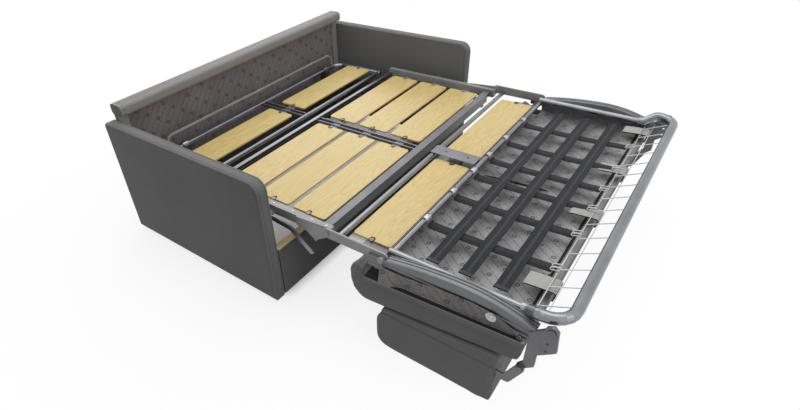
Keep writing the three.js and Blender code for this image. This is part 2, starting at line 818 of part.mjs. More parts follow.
function makeProfileBar(sign) {
  const x = layer.profile + layer.profileThickness / 2;
  const corners = [
    vector(sign * x, profile.rear, profile.centre),
    vector(sign * x, profile.straightEnd, profile.centre),
    vector(sign * x, profile.endY, profile.endZ),
  ];
  const bend = -(profile.endY - profile.straightEnd) * 2;
  const points = bentPoints(corners, [bend]);
  const section = makeProfileSection(sign);
  const rings = points.map((point, i) => {
    const before = points[Math.max(i - 1, 0)];
    const after = points[Math.min(i + 1, points.length - 1)];
    const run = after.clone().sub(before).normalize();
    const up = axisX.clone().cross(run).negate();
    return section.map(([u, v]) => point.clone().addScaledVector(axisX, u).addScaledVector(up, v));
  });
  return loft(rings);
}

// A closed skin over rings of equal length, with a flat face at each end
function loft(rings) {
  const size = rings[0].length;
  const flat = THREE.ShapeUtils.triangulateShape(
    rings[0].map((point) => new THREE.Vector2(point.x, point.z)), []);
  const index = [];
  rings.slice(1).forEach((_, i) => {
    const low = i * size;
    const high = low + size;
    for (let k = 0; k < size; k += 1) {
      const next = (k + 1) % size;
      index.push(low + k, low + next, high + next, low + k, high + next, high + k);
    }
  });
  const last = (rings.length - 1) * size;
  flat.forEach(([a, b, c]) => index.push(c, b, a, last + a, last + b, last + c));
  const geometry = new THREE.BufferGeometry();
  geometry.setAttribute('position', new THREE.Float32BufferAttribute(rings.flat().flatMap((p) => [p.x, p.y, p.z]), 3));
  geometry.setIndex(index);
  return geometry;
}

function makeBracketOutline() {
  const { y, z } = pivot.backrest;
  const neckRear = seat.rear - fit;
  const shape = new THREE.Shape();
  shape.moveTo(neckRear, z + bracket.eye * 2);
  shape.lineTo(neckRear, profile.endZ + profile.height / 2);
  shape.lineTo(bracket.bossY + bracket.boss, bracket.bossZ);
  shape.absarc(bracket.bossY, bracket.bossZ, bracket.boss, 0, Math.PI * 0.85);
  shape.lineTo(bracket.cornerY, bracket.cornerZ + bracket.eye);
  shape.lineTo(bracket.cornerY + bracket.eye, bracket.cornerZ);
  shape.lineTo(bracket.neckFront, bracket.cornerZ - bracket.eye * 2);
  shape.lineTo(bracket.neckFront, z + bracket.eye * 2);
  shape.absarc(y, z, bracket.eye, Math.PI * 0.85, Math.PI * 2.15);
  return shape;
}

function makeProfile(sign) {
  const bracketOuter = layer.bracket + layer.bracketThickness;
  const profileOuter = layer.profile + layer.profileThickness;
  const shelfTop = sideTube.z - sideTube.radius - fit;
  const shelves = profile.shelfY.map((y) => {
    const x0 = sideTubeX - sideTube.radius;
    const x1 = layer.profile + overrun;
    const half = profile.shelfWidth / 2;
    return block(sign > 0 ? x0 : -x1, sign > 0 ? x1 : -x0, y - half, y + half, shelfTop - profile.shelfThickness,
      shelfTop);
  });
  const holes = bracket.holeZ.map((z) =>
    disc(sign, { y: bracket.holeY, z }, bracket.holeRadius, layer.bracket - overrun, bracketOuter + overrun));
  const plate = cut(onSide(sign, makeBracketOutline(), profileOuter - layer.profileThickness / 4, bracketOuter), ...holes);
  const boss = { y: bracket.bossY, z: bracket.bossZ };
  const channel = cut(makeProfileBar(sign), pinHole(sign, pivot.seat, layer.profile, profileOuter));
  return join(
    channel,
    plate,
    ...shelves,
    disc(sign, boss, pin.radius, footTubeX + footTube.radius / 2, bracketOuter),
    disc(sign, boss, pin.headRadius, bracketOuter - fit, bracketOuter + pin.headLength),
    pinOutwards(sign, pivot.backrest, bracketOuter - fit, armLayer.inner, armLayer.outer),
  );
}

const armLayer = {
  inner: layer.bracket + layer.bracketThickness + fit * 4,
  outer: layer.bracket + layer.bracketThickness + fit * 4 + backrest.armThickness,
};

function seatTopAt(y) {
  const front = seat.nose - seat.noseDepth;
  return seat.topFront + ((y - front) / (seat.rear - front)) * (seat.topRear - seat.topFront);
}

function makeSeatCushion() {
  const curlRear = seat.nose - seat.noseDepth;
  const shape = new THREE.Shape();
  shape.moveTo(seat.rear + seat.rearRound, seat.bottomRear);
  shape.lineTo(seat.nose - seat.noseDepth * 2, seat.bottomFront + seat.noseRound / 2);
  shape.quadraticCurveTo(seat.nose, seat.bottomFront - seat.noseRound / 2, seat.nose, (seat.bottomFront + seat.noseTop) / 2);
  shape.absarc(seat.nose - seat.noseRound, seat.noseTop - seat.noseRound, seat.noseRound, 0, Math.PI / 2);
  shape.absarc(curlRear + seat.noseRound / 2, seat.noseTop - seat.noseRound / 2, seat.noseRound / 2, Math.PI / 2, Math.PI);
  shape.lineTo(curlRear, seat.topFront);
  shape.lineTo(seat.rear, seat.topRear);
  shape.absarc(seat.rear + seat.rearRound, seat.bottomRear + seat.rearRound, seat.rearRound, Math.PI, Math.PI * 1.5);
  return alongX(shape, -seatReach, seatReach, cornerSegments * 2);
}

function makeSeatLining() {
  const y0 = seat.rear;
  const y1 = seat.nose - seat.noseDepth - fit;
  const lift = fit + seat.liningThickness;
  const outline = polygon([
    [y0, seatTopAt(y0) + fit],
    [y1, seatTopAt(y1) + fit],
    [y1, seatTopAt(y1) + lift],
    [y0, seatTopAt(y0) + lift],
  ]);
  return alongX(outline, -seatReach, seatReach);
}

// Backrest

function makeBackrestArm(sign) {
  const half = backrest.armWidth / 2;
  const { y, z } = pivot.backrest;
  const endY = backrest.hungEnd + backrest.armDepth - half;
  const arms = [
    slotShape(y, z, backrest.armBendY, backrest.armZ, half),
    slotShape(backrest.armBendY, backrest.armZ, endY, backrest.armZ, half),
  ];
  const bar = join(...arms.map((shape) => onSide(sign, shape, armLayer.inner, armLayer.outer, cornerSegments * 2)));
  return cut(bar, pinHole(sign, pivot.backrest, armLayer.inner, armLayer.outer));
}

function makeBackrestCushion() {
  const { freeEnd, hungEnd, thickness, freeRound, hungRound } = backrest;
  const shape = new THREE.Shape();
  shape.absarc(freeEnd - freeRound, freeRound, freeRound, -Math.PI / 2, 0);
  shape.absarc(freeEnd - freeRound, thickness - freeRound, freeRound, 0, Math.PI / 2);
  shape.absarc(hungEnd + hungRound, thickness - hungRound, hungRound, Math.PI / 2, Math.PI);
  shape.absarc(hungEnd + hungRound, hungRound, hungRound, Math.PI, Math.PI * 1.5);
  const body = alongX(shape, -backrestReach, backrestReach);
  const half = backrest.armWidth / 2 + fit;
  const pockets = sides.map(({ sign }) => {
    const x0 = armLayer.inner - fit;
    const x1 = armLayer.outer + fit;
    return block(sign > 0 ? x0 : -x1, sign > 0 ? x1 : -x0, hungEnd - overrun, hungEnd + backrest.armDepth + fit,
      backrest.armZ - half, backrest.armZ + half);
  });
  return cut(body, ...pockets);
}

// Assembly

add('back_panel', makeBackPanel(), fabric);
add('back_lining', makeBackLining(), liningCloth);
add('front_rail', makeFrontRail(), fabric);
add('base_plinth', makePlinth(), blackPlastic);
add('base_frame', makeBaseFrame(), rawTimber);

const headFrontY = headFrontTubeY + headFront.radius + fit;
add('head_tube', makeHeadTube(), paintedSteel);
add('pillow_rail', makePillowRail(), darkSteel);
add('head_spine', makeSpine(headFrontY, pivot.head.y - headTube.radius - fit, slatRows.head), darkSteel);

add('rear_bar', makeRearBar(), paintedSteel);
add('front_beam', makeFrontBeam(), paintedSteel);
add('middle_spine', makeSpine(frontBeam.rear + fit, rearBar.y - rearBar.size / 2 - fit, slatRows.middle), darkSteel);

add('knee_tube', makeKneeTube(), paintedSteel);
add('knee_beam', makeKneeBeam(), darkSteel);

add('strap_tube', makeStrapTube(), paintedSteel);
add('foot_tube', makeFootTube(), paintedSteel);
add('wire_grid', makeWireGrid(), wireSteel);
add('seat_lining', makeSeatLining(), liningCloth);
add('seat_cushion', makeSeatCushion(), fabric);
add('backrest_cushion', makeBackrestCushion(), fabric);

for (const { word, sign } of sides) {
  add(`arm_${word}`, makeArm(sign), fabric);
  add(`side_plate_${word}`, makeSidePlate(sign), darkSteel);
  add(`head_clamp_${word}`, makeHeadClamp(sign), blackPlastic);
  add(`side_rail_${word}`, makeRail(sign), darkSteel);
  add(`front_link_${word}`, makeLink(sign, pivot.frontLinkRoot), darkSteel);
  add(`rear_link_${word}`, makeLink(sign, pivot.rearLinkRoot), darkSteel);
  add(`support_lever_${word}`, makeLever(sign), paintedSteel);
  add(`knee_bar_${word}`, makeKneeBar(sign), darkSteel);
  add(`side_tube_${word}`, makeSideTube(sign), paintedSteel);
  add(`seat_profile_${word}`, makeProfile(sign), darkSteel);
  add(`backrest_arm_${word}`, makeBackrestArm(sign), darkSteel);
  for (const [section, rows] of Object.entries(slatRows)) {
    rows.forEach((y, i) => {
      const number = rows.length > 1 ? `_${i + 1}` : '';
      add(`${section}_slat${number}_${word}`, makeSlat(sign, y), birch);
    });
  }
  longStrap.shares.forEach((share, i) => add(`long_strap_${i + 1}_${word}`, makeLongStrap(sign * share * wireReach),
    webbing));
}
crossStrap.y.forEach((y, i) => add(`cross_strap_${i + 1}`, makeCrossStrap(y), webbing));

const footEnd = footTube.y - footTube.radius;
sofa.position.y = -(shell.rear + footEnd) / 2;
const pulledOutSofa = new THREE.Group();
pulledOutSofa.add(sofa);

export default pulledOutSofa;
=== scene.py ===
"""Sleeper sofa with its bed pulled out: upholstery, linings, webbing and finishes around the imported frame.

Everything is in metres in the frame's own axes: X to the right seen from the front, Y to the back, Z up.
"""

from __future__ import annotations

import json
import logging
import math
import random
from dataclasses import dataclass, field
from enum import Enum
from typing import Callable, Iterable, Sequence

import bmesh
import bpy
from mathutils import Matrix, Vector
from mathutils.bvhtree import BVHTree

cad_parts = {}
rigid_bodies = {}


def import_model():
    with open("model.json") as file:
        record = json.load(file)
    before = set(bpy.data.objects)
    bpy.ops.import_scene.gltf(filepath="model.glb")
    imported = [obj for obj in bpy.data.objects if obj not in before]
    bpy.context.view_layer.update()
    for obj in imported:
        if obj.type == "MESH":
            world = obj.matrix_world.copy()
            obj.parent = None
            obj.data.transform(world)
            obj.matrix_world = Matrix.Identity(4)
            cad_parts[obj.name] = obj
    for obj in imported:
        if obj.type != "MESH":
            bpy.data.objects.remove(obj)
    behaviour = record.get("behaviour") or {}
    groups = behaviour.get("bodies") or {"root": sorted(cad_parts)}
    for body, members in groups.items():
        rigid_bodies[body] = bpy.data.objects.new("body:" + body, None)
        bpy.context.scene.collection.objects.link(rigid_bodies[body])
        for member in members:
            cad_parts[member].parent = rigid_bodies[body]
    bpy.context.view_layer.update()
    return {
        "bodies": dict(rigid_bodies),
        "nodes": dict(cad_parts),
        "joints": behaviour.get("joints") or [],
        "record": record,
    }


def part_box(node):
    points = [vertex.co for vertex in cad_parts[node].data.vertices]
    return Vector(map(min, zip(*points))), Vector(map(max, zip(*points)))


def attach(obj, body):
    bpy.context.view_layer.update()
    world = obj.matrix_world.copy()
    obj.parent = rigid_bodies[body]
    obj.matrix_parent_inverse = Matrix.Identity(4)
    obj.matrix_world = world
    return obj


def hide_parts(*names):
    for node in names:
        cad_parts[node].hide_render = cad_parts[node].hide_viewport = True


LOG = logging.getLogger("sleeper_sofa")

SMOOTH_ANGLE = math.radians(42)
NEAR = 1e-4
SIDES = {"left": -1, "right": 1}

Colour = Row = tuple[float, float, float]
Couple = tuple[float, float]
Place = Sequence[float]
Test = Callable[[Vector, Vector], bool]
Socket = bpy.types.NodeSocket
Material = bpy.types.Material
Piece = bpy.types.Object


class Slot(str, Enum):
    """The record's material slots, listed beside the strap hooks' pieces but not read."""

    UPHOLSTERY = "upholstery"
    LINING = "lining"
    WEBBING = "webbing"
    BRIGHT_WIRE = "bright_wire"
    SILVER_PAINT = "silver_paint"
    GREY_STEEL = "grey_steel"


class Plane(Enum):
    """The two axes that a printed pattern lies in."""

    FLOOR = ("X", "Y")
    BACK = ("X", "Z")
    SIDE = ("Y", "Z")


# Finishes


def linear(shade: Colour) -> Colour:
    """Turns a colour as it looks on a screen into the renderer's own scale."""
    return tuple(c / 12.92 if c <= 0.04045 else ((c + 0.055) / 1.055) ** 2.4 for c in shade)


def grey(level: float) -> Colour:
    """A neutral colour of one level."""
    return (level,) * 3


class Shader:
    """A material's node tree with one Principled shader, built up a node at a time."""

    def __init__(self, name: str, roughness: float, metallic: float = 0.0) -> None:
        """Starts the material.

        Args:
            name: the material's name.
            roughness: the shader's own roughness.
            metallic: 1 for bare metal, 0 for everything else.
        """
        self.material = bpy.data.materials.new(name)
        self.material.use_nodes = True
        self.tree = self.material.node_tree
        self.surface = self.tree.nodes["Principled BSDF"]
        self.set("Roughness", roughness)
        self.set("Metallic", metallic)
        self.place = self.node("ShaderNodeTexCoord").outputs["Object"]

    def node(self, kind: str, **settings: object) -> bpy.types.Node:
        """Adds a node.

        Args:
            kind: the node's type.
            settings: its properties by name.

        Returns:
            The node.
        """
        made = self.tree.nodes.new(kind)
        for key, value in settings.items():
            setattr(made, key, value)
        return made

    def link(self, source: Socket, target: Socket) -> None:
        """Joins an output to an input."""
        self.tree.links.new(source, target)

    def set(self, socket: str, value: object) -> None:
        """Sets one of the shader's own sockets."""
        self.surface.inputs[socket].default_value = value

    def math(self, operation: str, first: object, second: object = 0.0) -> Socket:
        """Adds a Math node.

        Args:
            operation: the node's operation.
            first: a socket or a number.
            second: a socket or a number.

        Returns:
            The node's output.
        """
        made = self.node("ShaderNodeMath", operation=operation)
        for socket, value in zip(made.inputs, (first, second)):
            if isinstance(value, Socket):
                self.link(value, socket)
            else:
                socket.default_value = value
        return made.outputs[0]

    def stretched(self, scale: Place) -> Socket:
        """Stretches the object's own coordinates.

        Args:
            scale: how far, along each axis.

        Returns:
            The stretched coordinates.
        """
        made = self.node("ShaderNodeMapping")
        made.inputs["Scale"].default_value = scale
        self.link(self.place, made.inputs["Vector"])
        return made.outputs[0]

    def noise(self, scale: float, detail: float = 3.0, where: Socket | None = None,
              distortion: float = 0.0) -> Socket:
        """Adds a noise.

        Args:
            scale: how fine it is.
            detail: how many finer layers it has.
            where: its coordinates, or none for the object's own.
            distortion: how far it is warped.

        Returns:
            The noise's strength.
        """
        made = self.node("ShaderNodeTexNoise")
        made.inputs["Scale"].default_value = scale
        made.inputs["Detail"].default_value = detail
        made.inputs["Distortion"].default_value = distortion
        self.link(where or self.place, made.inputs["Vector"])
        return made.outputs["Fac"]

    def ramp(self, strength: Socket, stops: Sequence[tuple[float, Colour]]) -> Socket:
        """Turns a strength into a colour.

        Args:
            strength: what is read along the ramp.
            stops: each stop's place from 0 to 1 and its colour as seen.

        Returns:
            The colour.
        """
        made = self.node("ShaderNodeValToRGB")
        elements = made.color_ramp.elements
        for i, (place, shade) in enumerate(stops):
            element = elements[i] if i < len(elements) else elements.new(place)
            element.position = place
            element.color = (*linear(shade), 1)
        self.link(strength, made.inputs["Fac"])
        return made.outputs["Color"]

    def mix(self, share: object, first: object, second: object, blend: str = "MIX") -> Socket:
        """Mixes two colours.

        Args:
            share: the second colour's share, a socket or a number.
            first: a socket, or a colour as seen.
            second: a socket, or a colour as seen.
            blend: how they are laid over each other.

        Returns:
            The mixed colour.
        """
        made = self.node("ShaderNodeMix", data_type="RGBA", blend_type=blend)
        sockets = (made.inputs[0], made.inputs[6], made.inputs[7])
        for socket, value in zip(sockets, (share, first, second)):
            if isinstance(value, Socket):
                self.link(value, socket)
            elif isinstance(value, tuple):
                socket.default_value = (*linear(value), 1)
            else:
                socket.default_value = value
        return made.outputs[2]

    def axes(self, source: Socket | None = None) -> bpy.types.NodeOutputs:
        """Splits coordinates, the object's own unless others are given.

        Args:
            source: the coordinates, or none for the object's own.

        Returns:
            One output for each axis, by its letter.
        """
        parts = self.node("ShaderNodeSeparateXYZ")
        self.link(source or self.place, parts.inputs[0])
        return parts.outputs

    def colour(self, source: Socket) -> None:
        """Gives the surface its colour."""
        self.link(source, self.surface.inputs["Base Color"])

    def roughen(self, source: Socket, low: float, high: float) -> None:
        """Spreads a strength over a range of roughness.

        Args:
            source: the strength.
            low: the roughness where it is 0.
            high: the roughness where it is 1.
        """
        made = self.node("ShaderNodeMapRange")
        made.inputs["To Min"].default_value = low
        made.inputs["To Max"].default_value = high
        self.link(source, made.inputs["Value"])
        self.link(made.outputs[0], self.surface.inputs["Roughness"])

    def bump(self, height: Socket, distance: float, strength: float = 1.0) -> None:
        """Adds a bump on top of the ones that are there.

        Args:
            height: how high each place stands, from 0 to 1.
            distance: the full height in metres.
            strength: how much of it shows.
        """
        made = self.node("ShaderNodeBump")
        made.inputs["Distance"].default_value = distance
        made.inputs["Strength"].default_value = strength
        normal = self.surface.inputs["Normal"]
        if normal.links:
            self.link(normal.links[0].from_socket, made.inputs["Normal"])
        self.link(height, made.inputs["Height"])
        self.link(made.outputs[0], normal)


@dataclass(frozen=True)
class Upholstery:
    """Soft dark grey cover cloth: a fine close weave with a brushed sheen."""

    name: str = "cover_cloth"
    dark: Colour = (0.365, 0.364, 0.363)
    light: Colour = (0.405, 0.404, 0.403)
    thread: float = 0.0014
    sheen: float = 0.12

    def material(self) -> Material:
        """Builds the cloth's material.

        Returns:
            The material.
        """
        shader = Shader(self.name, roughness=0.72)
        shader.set("Sheen Weight", self.sheen)
        shader.set("Sheen Roughness", 0.45)
        shader.set("Specular IOR Level", 0.35)
        patches = shader.noise(3.2, 5.0)
        fibres = shader.noise(420.0, 2.0)
        cloud = shader.ramp(patches, [(0.3, self.dark), (0.7, self.light)])
        fleck = shader.ramp(fibres, [(0.25, (0.88, 0.88, 0.88)), (0.75, (1.0, 1.0, 1.0))])
        shader.colour(shader.mix(1.0, cloud, fleck, "MULTIPLY"))
        shader.bump(self._weave(shader), 0.0003, 0.35)
        shader.bump(shader.noise(26.0, 4.0), 0.0012, 0.25)
        shader.roughen(fibres, 0.62, 0.82)
        return shader.material

    def _weave(self, shader: Shader) -> Socket:
        """Crosses fine ribs in all three directions, so that every side shows a weave.

        Args:
            shader: the cloth's shader.

        Returns:
            The weave's height.
        """
        axes = shader.axes()
        turns = 2 * math.pi / self.thread
        waves = [shader.math("SINE", shader.math("MULTIPLY", axes[axis], turns)) for axis in "XYZ"]
        crossed = [shader.math("MULTIPLY", first, second) for first, second in zip(waves, waves[1:])]
        return shader.math("ADD", *crossed)


@dataclass(frozen=True)
class Lining:
    """Thin lining felt with a generic print: broken diagonal lines, and small dotted rings between them."""

    name: str
    plane: Plane
    ground: Colour
    print_shade: Colour
    line_pitch: float = 0.031
    mark_pitch: float = 0.078
    line_width: float = 0.0027
    dash: float = 0.021
    ring: float = 0.0072
    ring_width: float = 0.0040
    dot: float = 0.0022
    turn: float = math.radians(52)
    dash_share: float = 0.80
    ink_share: float = 0.85
    dark_share: float = 0.86

    def material(self) -> Material:
        """Builds the lining's material.

        Returns:
            The material.
        """
        shader = Shader(self.name, roughness=0.9)
        shader.set("Sheen Weight", 0.15)
        axes = shader.axes()
        first, second = (axes[axis] for axis in self.plane.value)
        along = self._turned(shader, first, second, math.cos(self.turn), math.sin(self.turn))
        across = self._turned(shader, first, second, -math.sin(self.turn), math.cos(self.turn))
        marks = shader.math("MAXIMUM", self._lines(shader, along, across), self._rings(shader, along, across))
        dark = tuple(c * self.dark_share for c in self.ground)
        felt = shader.ramp(shader.noise(240.0, 4.0), [(0.3, dark), (0.7, self.ground)])
        cloudy = shader.ramp(shader.noise(5.0, 4.0), [(0.3, grey(self.dark_share)), (0.7, grey(1.0))])
        ground = shader.mix(1.0, felt, cloudy, "MULTIPLY")
        shader.colour(shader.mix(shader.math("MULTIPLY", marks, self.ink_share), ground, self.print_shade))
        shader.bump(shader.noise(300.0, 4.0), 0.0004, 0.6)
        shader.bump(shader.noise(14.0, 3.0), 0.003, 0.5)
        return shader.material

    @staticmethod
    def _turned(shader: Shader, first: Socket, second: Socket, a: float,
                b: float) -> Socket:
        """Adds a share of each of two coordinates."""
        return shader.math("ADD", shader.math("MULTIPLY", first, a), shader.math("MULTIPLY", second, b))

    @staticmethod
    def _offset(shader: Shader, place: Socket, pitch: float) -> Socket:
        """How far a point is from the middle of its own cell, in metres."""
        cell = shader.math("FRACT", shader.math("DIVIDE", place, pitch))
        return shader.math("MULTIPLY", shader.math("SUBTRACT", cell, 0.5), pitch)

    def _lines(self, shader: Shader, along: Socket, across: Socket) -> Socket:
        """Draws thin broken lines.

        Args:
            shader: the lining's shader.
            along: the place along the lines.
            across: the place across them.

        Returns:
            Where there is ink, with the lines a little paler than the rings.
        """
        offset = shader.math("ABSOLUTE", self._offset(shader, across, self.line_pitch))
        thin = shader.math("LESS_THAN", offset, self.line_width / 2)
        dashes = shader.math("FRACT", shader.math("DIVIDE", along, self.dash))
        broken = shader.math("LESS_THAN", dashes, self.dash_share)
        return shader.math("MULTIPLY", shader.math("MULTIPLY", thin, broken), self.ink_share)

    def _rings(self, shader: Shader, along: Socket, across: Socket) -> Socket:
        """Draws rings with a dot, half way between two lines, each row shifted by half a step.

        Args:
            shader: the lining's shader.
            along: the place along the lines.
            across: the place across them.

        Returns:
            Where there is ink.
        """
        lifted = shader.math("ADD", across, self.line_pitch / 2)
        row = shader.math("FLOOR", shader.math("DIVIDE", lifted, self.line_pitch))
        slid = shader.math("ADD", along, shader.math("MULTIPLY", row, self.mark_pitch / 2))
        u = self._offset(shader, slid, self.mark_pitch)
        v = self._offset(shader, lifted, self.line_pitch)
        squares = [shader.math("MULTIPLY", offset, offset) for offset in (u, v)]
        reach = shader.math("SQRT", shader.math("ADD", *squares))
        rim = shader.math("ABSOLUTE", shader.math("SUBTRACT", reach, self.ring))
        ring = shader.math("LESS_THAN", rim, self.ring_width / 2)
        mark = shader.math("MAXIMUM", ring, shader.math("LESS_THAN", reach, self.dot))
        second_row = shader.math("LESS_THAN", shader.math("FRACT", shader.math("MULTIPLY", row, 0.5)), 0.25)
        return shader.math("MULTIPLY", mark, second_row)


@dataclass(frozen=True)
class Birch:
    """Lacquered birch plywood with long rising grain."""

    name: str = "birch_veneer"
    pale: Colour = (0.835, 0.750, 0.500)
    warm: Colour = (0.785, 0.685, 0.420)
    line: Colour = (0.700, 0.585, 0.335)

    def material(self) -> Material:
        """Builds the veneer's material.

        Returns:
            The material.
        """
        shader = Shader(self.name, roughness=0.42)
        shader.set("Coat Weight", 0.25)
        shader.set("Coat Roughness", 0.25)
        slow = shader.noise(1.6, 2.0, shader.stretched((1.3, 7.5, 7.5)), 0.4)
        rings = shader.math("FRACT", shader.math("MULTIPLY", slow, 15.0))
        grain = shader.ramp(rings, [(0.0, self.line), (0.16, self.warm), (0.5, self.pale), (0.93, self.pale),
                                    (1.0, self.line)])
        fine = shader.noise(60.0, 4.0, shader.stretched((0.12, 3.0, 3.0)))
        pores = shader.ramp(fine, [(0.35, (0.95, 0.93, 0.89)), (0.6, (1.0, 1.0, 1.0))])
        broad = shader.ramp(shader.noise(1.3, 2.0), [(0.3, self.warm), (0.7, self.pale)])
        shader.colour(shader.mix(1.0, shader.mix(0.42, broad, grain), pores, "MULTIPLY"))
        shader.bump(fine, 0.0002, 0.3)
        shader.roughen(fine, 0.34, 0.5)
        return shader.material


@dataclass(frozen=True)
class Timber:
    """Sawn softwood of the hidden frame, darker deep inside the sofa as painted shade."""

    name: str = "sawn_timber"
    pale: Colour = (0.80, 0.73, 0.58)
    dark: Colour = (0.62, 0.53, 0.38)
    # Painted shade: the colour that the wood darkens to between these two places along Y, deep inside the
    # sofa.
    inside: Colour = (0.22, 0.20, 0.18)
    painted_shade_start: float = 0.20
    painted_shade_end: float = 0.34

    def material(self) -> Material:
        """Builds the timber's material.

        Returns:
            The material.
        """
        shader = Shader(self.name, roughness=0.75)
        grain = shader.noise(22.0, 5.0, shader.stretched((0.6, 4.0, 4.0)), 0.8)
        # How far a place lies in the painted shade deep inside the sofa.
        depth = shader.math("DIVIDE", shader.math("SUBTRACT", shader.axes()["Y"], self.painted_shade_start),
                            self.painted_shade_end - self.painted_shade_start)
        depth = shader.math("MINIMUM", shader.math("MAXIMUM", depth, 0.0), 1.0)
        wood = shader.ramp(grain, [(0.3, self.dark), (0.65, self.pale)])
        shader.colour(shader.mix(depth, wood, self.inside))
        shader.bump(grain, 0.0005, 0.5)
        return shader.material


@dataclass(frozen=True)
class Metal:
    """Painted, plated or drawn steel with a faint unevenness."""

    name: str
    shade: Colour
    worn: Colour
    roughness: Couple
    metallic: float = 0.9
    coat: float = 0.0
    speckle: float = 0.00003

    def material(self) -> Material:
        """Builds the metal's material.

        Returns:
            The material.
        """
        shader = Shader(self.name, roughness=self.roughness[0], metallic=self.metallic)
        shader.set("Coat Weight", self.coat)
        shader.set("Coat Roughness", 0.2)
        cloud = shader.noise(9.0, 5.0)
        shader.colour(shader.ramp(cloud, [(0.35, self.shade), (0.7, self.worn)]))
        shader.roughen(shader.noise(70.0, 4.0), *self.roughness)
        shader.bump(shader.noise(400.0, 2.0), self.speckle, 0.3)
        return shader.material


@dataclass(frozen=True)
class Plastic:
    """Moulded plastic with a fine grain."""

    name: str
    shade: Colour
    light: Colour
    roughness: Couple = (0.42, 0.6)

    def material(self) -> Material:
        """Builds the plastic's material.

        Returns:
            The material.
        """
        shader = Shader(self.name, roughness=self.roughness[0])
        shader.colour(shader.ramp(shader.noise(30.0, 4.0), [(0.3, self.shade), (0.7, self.light)]))
        shader.roughen(shader.noise(120.0, 3.0), *self.roughness)
        shader.bump(shader.noise(1100.0, 2.0), 0.0001, 0.5)
        return shader.material


@dataclass(frozen=True)
class Webbing:
    """Woven elastic webbing, ribbed across, with two pale threads along it.

    It reads the strap's own UV map, whose U runs across the strap from 0 to 1 and whose V is metres along it.
    """

    name: str
    ground: Colour = (0.046, 0.049, 0.064)
    raised: Colour = (0.096, 0.101, 0.124)
    thread: Colour = (0.46, 0.47, 0.50)
    thread_share: float = 0.055
    thread_half_width: float = 0.011
    rib: float = 0.0024
    cords: int = 14
    dust: Colour = (0.34, 0.35, 0.38)
    dust_share: float = 0.06
    line_share: float = 0.7

    def material(self) -> Material:
        """Builds the webbing's material.

        Returns:
            The material.
        """
        shader = Shader(self.name, roughness=0.7)
        shader.set("Sheen Weight", 0.05)
        shader.set("Specular IOR Level", 0.3)
        chart = shader.node("ShaderNodeUVMap", uv_map="strap")
        axes = shader.axes(chart.outputs[0])
        across, along = axes["X"], axes["Y"]
        ribs = shader.math("SINE", shader.math("MULTIPLY", along, 2 * math.pi / self.rib))
        cords = shader.math("SINE", shader.math("MULTIPLY", across, 2 * math.pi * self.cords))
        weave = shader.math("ADD", shader.math("MULTIPLY", ribs, 0.6), shader.math("MULTIPLY", cords, 0.8))
        spread = shader.math("ADD", shader.math("MULTIPLY", weave, 0.3), 0.5)
        ground = shader.ramp(spread, [(0.1, self.ground), (0.9, self.raised)])
        from_middle = shader.math("ABSOLUTE", shader.math("SUBTRACT", across, 0.5))
        from_thread = shader.math("ABSOLUTE", shader.math("SUBTRACT", from_middle, self.thread_share))
        line = shader.math("LESS_THAN", from_thread, self.thread_half_width)
        dust = shader.math("MULTIPLY", shader.noise(40.0, 4.0), self.dust_share)
        dusted = shader.mix(dust, ground, self.dust)
        shader.colour(shader.mix(shader.math("MULTIPLY", line, self.line_share), dusted, self.thread))
        shader.bump(weave, 0.0005, 0.7)
        return shader.material


@dataclass(frozen=True)
class Backdrop:
    """White floor that keeps the soft shadow.

    It looks white to the camera and in reflections, stays dark deep under the sofa, and throws little light
    back at the sofa's sides. Each dark box is its middle X and Y, and its reach along each.
    """

    name: str = "studio_floor"
    seen_shade: Colour = grey(0.97)
    lit_shade: Colour = grey(0.55)
    dark_boxes: tuple[tuple[float, float, float, float], ...] = (
        (0.0, 0.54, 0.74, 0.42), (0.22, 0.20, 0.50, 0.24))
    near_fade: float = 0.09
    far_fade: float = 1.3
    shares: tuple[float, float, float] = (0.08, 0.70, 0.22)

    def _white_share(self, shader: Shader) -> Socket:
        """How white the floor looks: little under the sofa, more beside it, wholly white farther off.

        Args:
            shader: the floor's shader.

        Returns:
            The share of white.
        """
        axes = shader.axes()
        distances = []
        for middle_x, middle_y, reach_x, reach_y in self.dark_boxes:
            squares = []
            for axis, middle, reach in (("X", middle_x, reach_x), ("Y", middle_y, reach_y)):
                offset = shader.math("ABSOLUTE", shader.math("SUBTRACT", axes[axis], middle))
                beyond = shader.math("MAXIMUM", shader.math("SUBTRACT", offset, reach), 0.0)
                squares.append(shader.math("MULTIPLY", beyond, beyond))
            distances.append(shader.math("SQRT", shader.math("ADD", *squares)))
        distance = shader.math("MINIMUM", *distances)
        start, *fade_shares = self.shares
        parts = []
        for fade, fade_share in zip((self.near_fade, self.far_fade), fade_shares):
            faded = shader.math("MINIMUM", shader.math("DIVIDE", distance, fade), 1.0)
            parts.append(shader.math("MULTIPLY", faded, fade_share))
        return shader.math("ADD", shader.math("ADD", *parts), start)

    def material(self) -> Material:
        """Builds the floor's material.

        Returns:
            The material.
        """
        shader = Shader(self.name, roughness=0.95)
        shader.set("Specular IOR Level", 0.0)
        light = shader.node("ShaderNodeEmission")
        light.inputs["Strength"].default_value = 1.0
        path = shader.node("ShaderNodeLightPath")
        seen = shader.math("MAXIMUM", path.outputs["Is Camera Ray"], path.outputs["Is Glossy Ray"])
        seen = shader.math("MAXIMUM", seen, path.outputs["Is Transmission Ray"])
        shader.colour(shader.mix(seen, self.lit_shade, self.seen_shade))
        mixer = shader.node("ShaderNodeMixShader")
        # A glow seen only by the camera and in reflections, weak under the sofa and full farther off: painted
        # light that whitens the floor and its shade away from the sofa.
        shader.link(shader.math("MULTIPLY", seen, self._white_share(shader)), mixer.inputs[0])
        shader.link(shader.surface.outputs[0], mixer.inputs[1])
        shader.link(light.outputs[0], mixer.inputs[2])
        shader.link(mixer.outputs[0], shader.tree.nodes["Material Output"].inputs["Surface"])
        return shader.material


